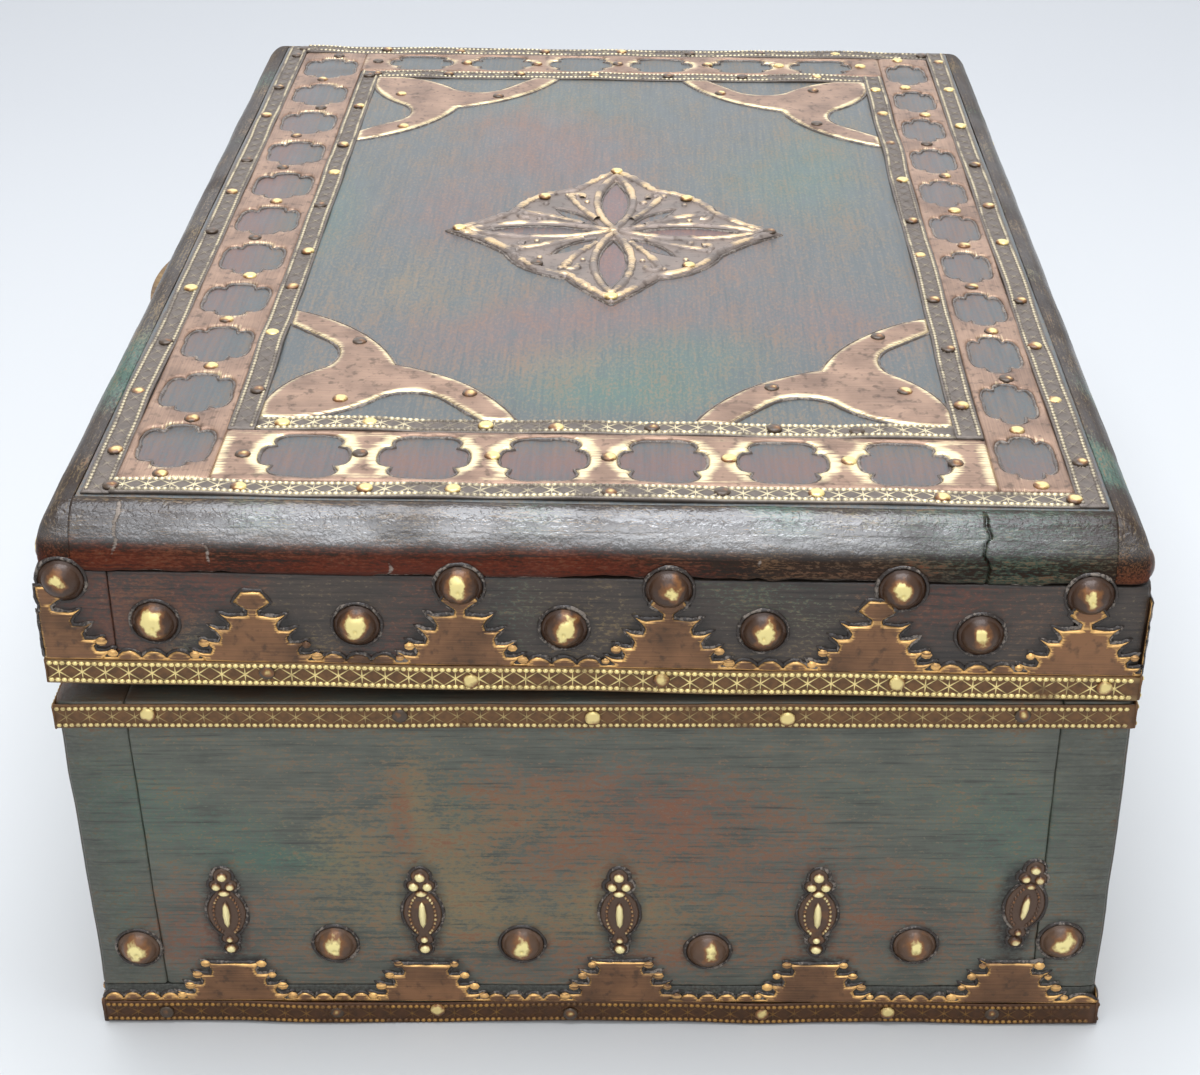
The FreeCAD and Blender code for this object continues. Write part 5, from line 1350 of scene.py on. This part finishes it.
BORDERS = {
    "front": (-border_x, border_x, -border_y, field_front),
    "back": (-border_x, border_x, field_back, border_y),
    "left": (-border_x, field_left, field_front, field_back),
    "right": (field_right, border_x, field_front, field_back),
}
# How far each border has been rubbed: most at the ends of the lid, least along its hinge and its front
BORDER_RUB = {"front": 0.55, "back": 0.5, "left": 0.7, "right": 1.2}
parts, border_openings = [], []
for number, (side, span) in enumerate(BORDERS.items()):
    loops = border_loops(span, 500 + 40 * number)
    border_openings += loops[1:]
    points, faces, gap = fret(loops, FRET_THICKNESS, FRET_PITCH)
    along, across = (0, 1) if side in LONG_SIDES else (1, 0)
    # Hands have polished the narrow waists between the openings and left the long edges dark
    first = np.mean(loops[1], axis=0)[along]
    waist = np.abs(np.sin(np.pi * (points[:, along] - first) / FOIL_PITCH))
    long_edge = np.minimum(points[:, across] - span[2 * across], span[2 * across + 1] - points[:, across])
    rub = np.clip(1 - gap / (1.2 + 3.2 * waist), 0, 1) * np.clip((waist - 0.45) * 2.4, 0, 1)
    rub = BORDER_RUB[side] * rub * np.clip(long_edge / 2.5, 0.15, 1)
    brush = np.column_stack([points[:, along], points[:, across], np.full(len(points), 9.0 * number)])
    parts.append((points, faces, rub, brush))
points, faces, rub, brush = join(parts)
piece("lid_borders", lie_on_lid(points), faces, top_fret_brass, "lid", ["lid_border_frets"], "pierced_brass",
      {"edge": rub}, {"brush": brush})

# Corner plates
# A sheet brass spandrel in each corner of the field: two arms and a stem with an arch on each side of it.
SPANDREL_REACH = 56.0
STEM_FOOT, STEM_SIDE, ARCH_SPRING = (0.13, 0.0), (0.31, 0.07), (0.45, 0.2)
ARCH_CROWN, ARCH_HAUNCH, ARM_HEEL = (0.57, 0.243), (0.71, 0.18), (0.87, 0.0)
ARM_TIP, ARM_BACK, CUSP = (1.0, 0.0), (0.8, 0.29), (0.48, 0.48)


def spandrel_loop():
    """The corner plate's outline, from its corner."""
    def near(share):
        return share[0] * SPANDREL_REACH, share[1] * SPANDREL_REACH

    def far(share):
        return share[1] * SPANDREL_REACH, share[0] * SPANDREL_REACH

    loop = [(0, 0)] + arc_points(near(STEM_FOOT), near(STEM_SIDE), near(ARCH_SPRING), 8)
    loop += arc_points(near(ARCH_SPRING), near(ARCH_CROWN), near(ARCH_HAUNCH), 8)
    loop += [near(ARCH_HAUNCH), near(ARM_HEEL)] + arc_points(near(ARM_TIP), near(ARM_BACK), near(CUSP), 12)
    loop += arc_points(far(CUSP), far(ARM_BACK), far(ARM_TIP), 12) + [far(ARM_TIP), far(ARM_HEEL)]
    loop += arc_points(far(ARCH_HAUNCH), far(ARCH_CROWN), far(ARCH_SPRING), 8)
    return loop + arc_points(far(ARCH_SPRING), far(STEM_SIDE), far(STEM_FOOT), 8) + [far(STEM_FOOT)]


inner_left, inner_right = field_left + STRIP_WIDTH, field_right - STRIP_WIDTH
inner_front, inner_back = field_front + STRIP_WIDTH, field_back - STRIP_WIDTH
# The field's corners, each a quarter turn on from the one before
CORNERS = ((inner_left, inner_front), (inner_right, inner_front), (inner_right, inner_back),
           (inner_left, inner_back))
QUARTER = math.pi / 2
plate_points, plate_faces, plate_gap = fret([spandrel_loop()], FRET_THICKNESS, FRET_PITCH)
parts = []
for number, corner in enumerate(CORNERS):
    plan = np.array(swung(plate_points[:, :2], QUARTER * number, corner))
    brush = np.column_stack([plan[:, ::-1], np.full(len(plan), 5.0 * number)])
    rub = np.clip(0.9 - plate_gap / 3.0, 0, 1)
    parts.append((np.column_stack([plan, plate_points[:, 2]]), plate_faces, rub, brush))
points, faces, rub, brush = join(parts)
piece("corner_plates", lie_on_lid(points), faces, top_fret_brass, "lid", ["lid_corner_plates"],
      "pierced_brass", {"edge": rub}, {"brush": brush})

# Medallion
# A lozenge of sheet brass with ogee edges, pressed up into a rim and ribs and chiselled through into four
# petals and four leaves, with small beads between them.
MEDALLION_X, MEDALLION_Y, MEDALLION_SHIFT = 45.5, 43.5, 7.75
OGEE = ((0.0, 1.0), (0.11, 0.87), (0.26, 0.66), (0.48, 0.55), (0.63, 0.32), (0.79, 0.155), (1.0, 0.0))
# The beads beside each leaf: how far out, as a share of the lozenge, and how far round from the leaf
MEDALLION_BEADS = ((0.62, 0.0), (0.5, 0.42), (0.5, -0.42), (0.66, 0.3), (0.66, -0.3))


def ogee_loop():
    """The medallion's outline."""
    quarter = []
    for first in (0, 2, 4):
        run = [(MEDALLION_X * up, MEDALLION_Y * across) for across, up in OGEE[first:first + 3]]
        quarter += arc_points(*run, 8)
    loop = quarter + [(0.0, MEDALLION_Y)]
    loop += [(-x, y) for x, y in quarter[::-1]] + [(-x, -y) for x, y in quarter[1:]] + [(0.0, -MEDALLION_Y)]
    return loop + [(x, -y) for x, y in quarter[:0:-1]]


def almond_loop(near, far, half_wide, angle):
    """A pointed opening along a ray from the middle."""
    middle = (near + far) / 2
    loop = arc_points((near, 0), (middle, -half_wide), (far, 0), 12)
    loop += arc_points((far, 0), (middle, half_wide), (near, 0), 12)
    return swung(loop, angle)


def raised_line(path, half, height, closed, ragged, seed, shift=0.0):
    """A low round ridge along a path on the plane: points and faces. A ragged one swells and thins.

    It can run beside the path, to the right of it.
    """
    way = np.array(path, float)
    tangent = np.roll(way, -1, axis=0) - np.roll(way, 1, axis=0) if closed else np.gradient(way, axis=0)
    tangent /= np.maximum(np.linalg.norm(tangent, axis=1, keepdims=True), 1e-9)
    side = np.column_stack([-tangent[:, 1], tangent[:, 0]])
    way = way - side * shift
    swell = 1 + ragged * rough(np.column_stack([way, np.full(len(way), seed)]), 1.6, seed)
    section = ((-1, 0), (-0.6, 0.75), (0, 1), (0.6, 0.75), (1, 0))
    rows = [np.column_stack([way + side * (half * across * swell)[:, None], height * up * swell])
            for across, up in section]
    faces = []
    width = len(section)
    for step in range(len(way) - (0 if closed else 1)):
        after = (step + 1) % len(way)
        faces += [(step * width + row, after * width + row, after * width + row + 1, step * width + row + 1)
                  for row in range(width - 1)]
    return np.stack(rows, axis=1).reshape(-1, 3), faces


medallion_brass = pierced_brass("pressed brass medallion, tarnished", "#70665f", "#8b7b70", "#d6b88e", 0.35,
                                0.1)
petal_loops, leaf_loops, sprays = [], [], []
for number, half in enumerate((MEDALLION_X, MEDALLION_Y, MEDALLION_X, MEDALLION_Y)):
    straight, slanting = math.radians(90 * number), math.radians(45 + 90 * number)
    petal_loops.append(almond_loop(half * 0.1, half * 0.8, 4.0, straight))
    leaf_loops.append(almond_loop(MEDALLION_Y * 0.14, MEDALLION_Y * 0.52, 2.2, slanting))
    # Two stalks that spread from beside the leaf and curl over at their ends
    for hand in (-1, 1):
        stalk = arc_points((9.0, hand * 2.6), (17.0, hand * 4.6), (24.0, hand * 7.6), 12)
        curl = [(24.0 - 1.7 * math.sin(turn), hand * (9.3 - 1.7 * math.cos(turn)))
                for turn in np.linspace(0, -4.4, 12)]
        sprays.append(swung(stalk + curl, slanting))
medallion_loops = [ogee_loop()] + petal_loops + leaf_loops
sheet, sheet_faces, gap = fret(medallion_loops, FRET_THICKNESS, 1.0)
ridges = [raised_line(np.array(close_rows(medallion_loops[0], 0.9)) * 0.95, 1.25, 0.8, True, 0.5, 3)]
for loop in petal_loops:
    middle = np.mean(loop, axis=0)
    spread = middle + (np.array(close_rows(loop, 0.9)) - middle) * 1.22
    ridges.append(raised_line(spread, 1.1, 0.85, True, 0.45, 4))
ridges += [raised_line(spray, 1.1, 0.8, False, 0.5, 5) for spray in sprays]
parts = [put_at(ridge, (0, 0, 0.5)) for ridge in ridges]
chance = random.Random(8)
for number in range(4):
    for share, swing in MEDALLION_BEADS:
        turn = math.radians(45 + 90 * number) + swing
        reach = share * 0.95 * (MEDALLION_X + MEDALLION_Y) / 2
        size = chance.uniform(0.8, 1.3)
        place = (reach * math.cos(turn), reach * math.sin(turn), 0.5)
        parts.append(put_at(half_ball(size, size, 0.8, 8, 2), place))
parts.append(put_at(half_ball(2.0, 2.0, 1.3, 10, 3), (0, 0, 0.4)))
raised, raised_faces = join(parts)
# The ridges are rubbed in some places and dull in others
handled = np.clip(0.65 + 1.1 * rough(raised * np.array([1, 1, 0]), 7, 83), 0.1, 1)
points, faces, rub = join([(sheet, sheet_faces, 0.4 * np.clip(1 - gap, 0, 1)),
                           (raised, raised_faces, np.clip((raised[:, 2] - 0.5) / 0.7, 0, 1) * handled)])
medallion_middle = ((field_left + field_right) / 2 + MEDALLION_SHIFT, (field_front + field_back) / 2, 0.0)
points = points + np.array(medallion_middle)
piece("medallion", lie_on_lid(points), faces, medallion_brass, "lid", ["lid_medallion"], "pierced_brass",
      {"edge": rub}, {"brush": np.column_stack([points[:, 1], points[:, 0], np.zeros(len(points))])})

# Tacks
# Small round-headed brass tacks that hold the strips and plates, set by hand at uneven distances.
TACK_PROFILE = ((1.7, 0.0), (1.75, 0.3), (1.55, 0.6), (0.9, 0.75), (0.4, 0.78))
TACK_SIDES = 12
TACK_PITCH = 41.0
STRIP_MIDDLE = STRIP_REVEAL + STRIP_WIDTH / 2
# The rows on the walls: level, seed, body, and the tacks' places along the right end, as it shows
TACK_ROWS = {"base": (STRIP_MIDDLE, 600, "case", (14.0, 53.7, 77.1, 107.7, 151.8, 180.6, 204.5)),
             "top": (CASE_TOP - STRIP_MIDDLE, 610, "case", (20.0, 73.6, 114.4, 155.4, 204.6)),
             "lid": (CASE_TOP + STRIP_MIDDLE, 620, "lid", (46.3, 89.0, 128.8, 177.8, 220.8))}
RING_STEPS = {"outer": 30.0, "inner": 27.0}
# Three tacks hold each leaf of the hinges
LEAF_TACKS = ((-12.0, 6.0), (0.0, 11.0), (12.0, 6.0))
LEAF_OUT = 1.2
SPANDREL_TACKS = ((16.5, 8.9), (17.3, 38.6), (45.0, 12.4))
# The medallion is held at its four points and beside its waists
MEDALLION_TACKS = ((0.93, 0), (-0.93, 0), (0, 0.93), (0, -0.93), (0.5, 0.44), (-0.5, 0.44), (0.5, -0.44),
                   (-0.5, -0.44))
tack_points, tack_faces = turned_shape(TACK_PROFILE, TACK_SIDES)
# The bright spot sits a little above each crown's middle and is kept small: polish and a painted highlight
tack_polish_and_highlight = [max(0.0, 1 - math.hypot(x, y - 0.5) / 3.0) for x, y, _ in tack_points]
tack_brass = rubbed_brass("brass tacks", "#4a3a2b", "#ead28c", 0.62, 0.86, 0.4)


def tack_row(side, seed):
    """Tacks along a side at about one pitch, set by eye."""
    chance = random.Random(seed)
    count = int(SIDES[side][3] // TACK_PITCH)
    step = SIDES[side][3] / count
    return [step * (number + 0.5) + chance.uniform(-6, 6) for number in range(count)]


def lid_spot(x, y, out):
    """A spot on the lid top."""
    return np.array([x, y, LID_TOP + out]), "top", 0.0


tacks = {"case": [], "lid": []}
chance = random.Random(31)
for number, side in enumerate(SIDES):
    gaps = hinge_gaps() if side == "back" else []
    for row, (level, seed, body, shown) in TACK_ROWS.items():
        for along in shown if side == "right" else tack_row(side, seed + number):
            if row == "base" or not any(start - 3 < along < end + 3 for start, end in gaps):
                tacks[body].append(wall_spot(side, along, level + chance.uniform(-0.7, 0.7), 0.45))
for middle in HINGE_MIDDLES:
    for along, away in LEAF_TACKS:
        tacks["case"].append(wall_spot("back", middle + along, CASE_TOP - away, LEAF_OUT))
        tacks["lid"].append(wall_spot("back", middle + along, CASE_TOP + away, LEAF_OUT))
for ring, (left, right, front, back) in TOP_RINGS.items():
    middle = STRIP_WIDTH / 2
    for x in np.arange(left + 10, right - 6, RING_STEPS[ring]):
        for y in (front + middle, back - middle):
            tacks["lid"].append(lid_spot(x + chance.uniform(-5, 5), y + chance.uniform(-0.8, 0.8), 0.5))
    for y in np.arange(front + 8, back - 6, RING_STEPS[ring] * 0.8):
        for x in (left + middle, right - middle):
            tacks["lid"].append(lid_spot(x + chance.uniform(-0.8, 0.8), y + chance.uniform(-5, 5), 0.5))
for span in BORDERS.values():
    tacks["lid"] += [lid_spot(x + chance.uniform(-1, 1), y + chance.uniform(-2, 2), 0.4)
                     for x, y in border_row(span, 1)]
for number, corner in enumerate(CORNERS):
    tacks["lid"] += [lid_spot(x, y, 0.4) for x, y in swung(SPANDREL_TACKS, QUARTER * number, corner)]
tacks["lid"] += [lid_spot(medallion_middle[0] + MEDALLION_X * x, medallion_middle[1] + MEDALLION_Y * y, 0.9)
                 for x, y in MEDALLION_TACKS]
for body, spots in tacks.items():
    nailed_copies(f"{body}_tacks", (tack_points, tack_faces, tack_polish_and_highlight), spots, tack_brass, body, [],
                  "domed_brass", 41)

# Lacquer
# Old shellac that has run up against the brass and dried there in dark, crusted ridges with pale dust on
# them: round the merlons, spindles and nails, the borders' openings, the corner plates and the medallion.
LACQUER_HALF, LACQUER_HEIGHT = 0.42, 0.4
NAIL_RING, RING_POINTS = 4.9, 26


def crusted_lacquer(name, whole):
    """Brown shellac, glossy where it is whole and pale where it has crumbled."""
    material, tree = start_material(name)
    place = add(tree, "TexCoord", out="Object")
    # Crumbs of 0.7 mm in stretches of 6 mm
    crumb = add(tree, "TexNoise", {"Vector": place, "Scale": 1 / 0.0007, "Detail": 3.0})
    stretch = add(tree, "TexNoise", {"Vector": place, "Scale": 1 / 0.006, "Detail": 2.0})
    both = add(tree, "Math", {0: crumb, 1: stretch}, operation="ADD")
    colour, pale = lay(tree, linear(whole), "#8f8377", both, 1.04, 1.2, 0.8)
    shine = add(tree, "MapRange", {0: pale, 3: 0.3, 4: 0.7})
    end_material(tree, colour, 0.0, shine, crumb, 0.5, 0.0003)
    return material


def lacquer_ridge(path, closed, seed, opening=False):
    """A ridge of lacquer round a plate's outline or inside an opening, to lay on a wall or on the lid."""
    beside = -LACQUER_HALF if opening else LACQUER_HALF
    return raised_line(path, LACQUER_HALF, LACQUER_HEIGHT, closed, 0.6, seed, 0.7 * beside)


shellac = crusted_lacquer("crusted dark shellac", "#2a1f18")
# The lid top's shellac is drawn lighter than the walls', a painted sheen for the light that the lid reflects
shellac_with_painted_sheen = crusted_lacquer("crusted shellac lightened as painted sheen", "#4f443c")
nail_ring = np.array(turned_shape([(NAIL_RING, 0.0)], RING_POINTS)[0])[:, :2]
for body, (domes, level) in DOMES.items():
    # Each ridge with its side and the level that it is measured from
    ridges = []
    for side, foot, loop in cresting_outlines[body]:
        rows = [point for point in close_rows(loop, 0.8) if point[1] > 0.5]
        ridges.append((side, foot, lacquer_ridge(rows, False, 7)))
    for side in SIDES:
        ridges += [(side, level, lacquer_ridge(nail_ring + np.array(spot), True, 9)) for spot in domes(side)]
        for along, up, lean in spindle_places(side) if body == "case" else []:
            rows = swung(close_rows(spindle_outline(), 0.9), lean, (along, up))
            ridges.append((side, 0.0, lacquer_ridge(rows, True, 11)))
    points, faces = join([(on_side(side, ridge, foot), ridge_faces)
                          for side, foot, (ridge, ridge_faces) in ridges])
    piece(f"{body}_lacquer", points, faces, shellac, body, [], "painted_wood")
flat_loops = [(loop, True) for loop in border_openings]
flat_loops += [(swung(spandrel_loop(), QUARTER * number, corner), False)
               for number, corner in enumerate(CORNERS)]
flat_loops += [(swung(loop, 0.0, medallion_middle), number > 0)
               for number, loop in enumerate(medallion_loops)]
# The lid top's ridges take the lighter shellac with its painted sheen
points, faces = join([put_at(lacquer_ridge(close_rows(loop, 0.8), True, 13, opening), (0, 0, LID_TOP))
                      for loop, opening in flat_loops])
piece("top_lacquer", points, faces, shellac_with_painted_sheen, "lid", [], "painted_wood")

# Hinges, hasp and nails
# Plain brass hinges, a bent sheet hasp on its plate and staple, and the cut iron nails of the boards.
# They keep their CAD shapes; the brass is dull and evenly handled, the iron is black.
BRASS_NODES = ("hasp_staple", "hinge_left_case_leaf", "hinge_right_case_leaf", "hinge_pins",
               "hinge_left_lid_leaf", "hinge_right_lid_leaf", "hasp_plate", "hasp_pin", "hasp")
IRON_NODES = ("case_board_nails", "lid_board_nails")


def dull_metal(name, low, high, bright, metallic, rough_low, rough_high):
    """Worn metal with cloudy tarnish, fine scratches and brighter scuffs."""
    material, tree = start_material(name)
    place = add(tree, "TexCoord", out="Object")
    # Clouds of 12 mm and scuffs of 1.5 mm
    cloud = add(tree, "TexNoise", {"Vector": place, "Scale": 1 / 0.012, "Detail": 4.0})
    scuff = add(tree, "TexNoise", {"Vector": place, "Scale": 1 / 0.0015, "Detail": 4.0})
    colour, _ = lay(tree, linear(low), high, cloud, 0.35, 0.65)
    colour, _ = lay(tree, colour, bright, scuff, 0.5, 0.8, 0.25)
    shine = add(tree, "MapRange", {0: cloud, 3: rough_low, 4: rough_high})
    end_material(tree, colour, metallic, shine, scuff, 0.3, 0.0003)
    return material


hardware_brass = dull_metal("hand-worn brass hardware", "#5f4528", "#8f6f42", "#d9c088", 0.95, 0.3, 0.5)
cut_iron = dull_metal("cut iron, blackened", "#1f1b18", "#3a322c", "#6a5b4f", 0.8, 0.5, 0.7)
for nodes, metal in ((BRASS_NODES, hardware_brass), (IRON_NODES, cut_iron)):
    for node in nodes:
        frame["nodes"][node].data.materials.clear()
        frame["nodes"][node].data.materials.append(metal)

for shape in hidden:
    bpy.data.objects.remove(shape)
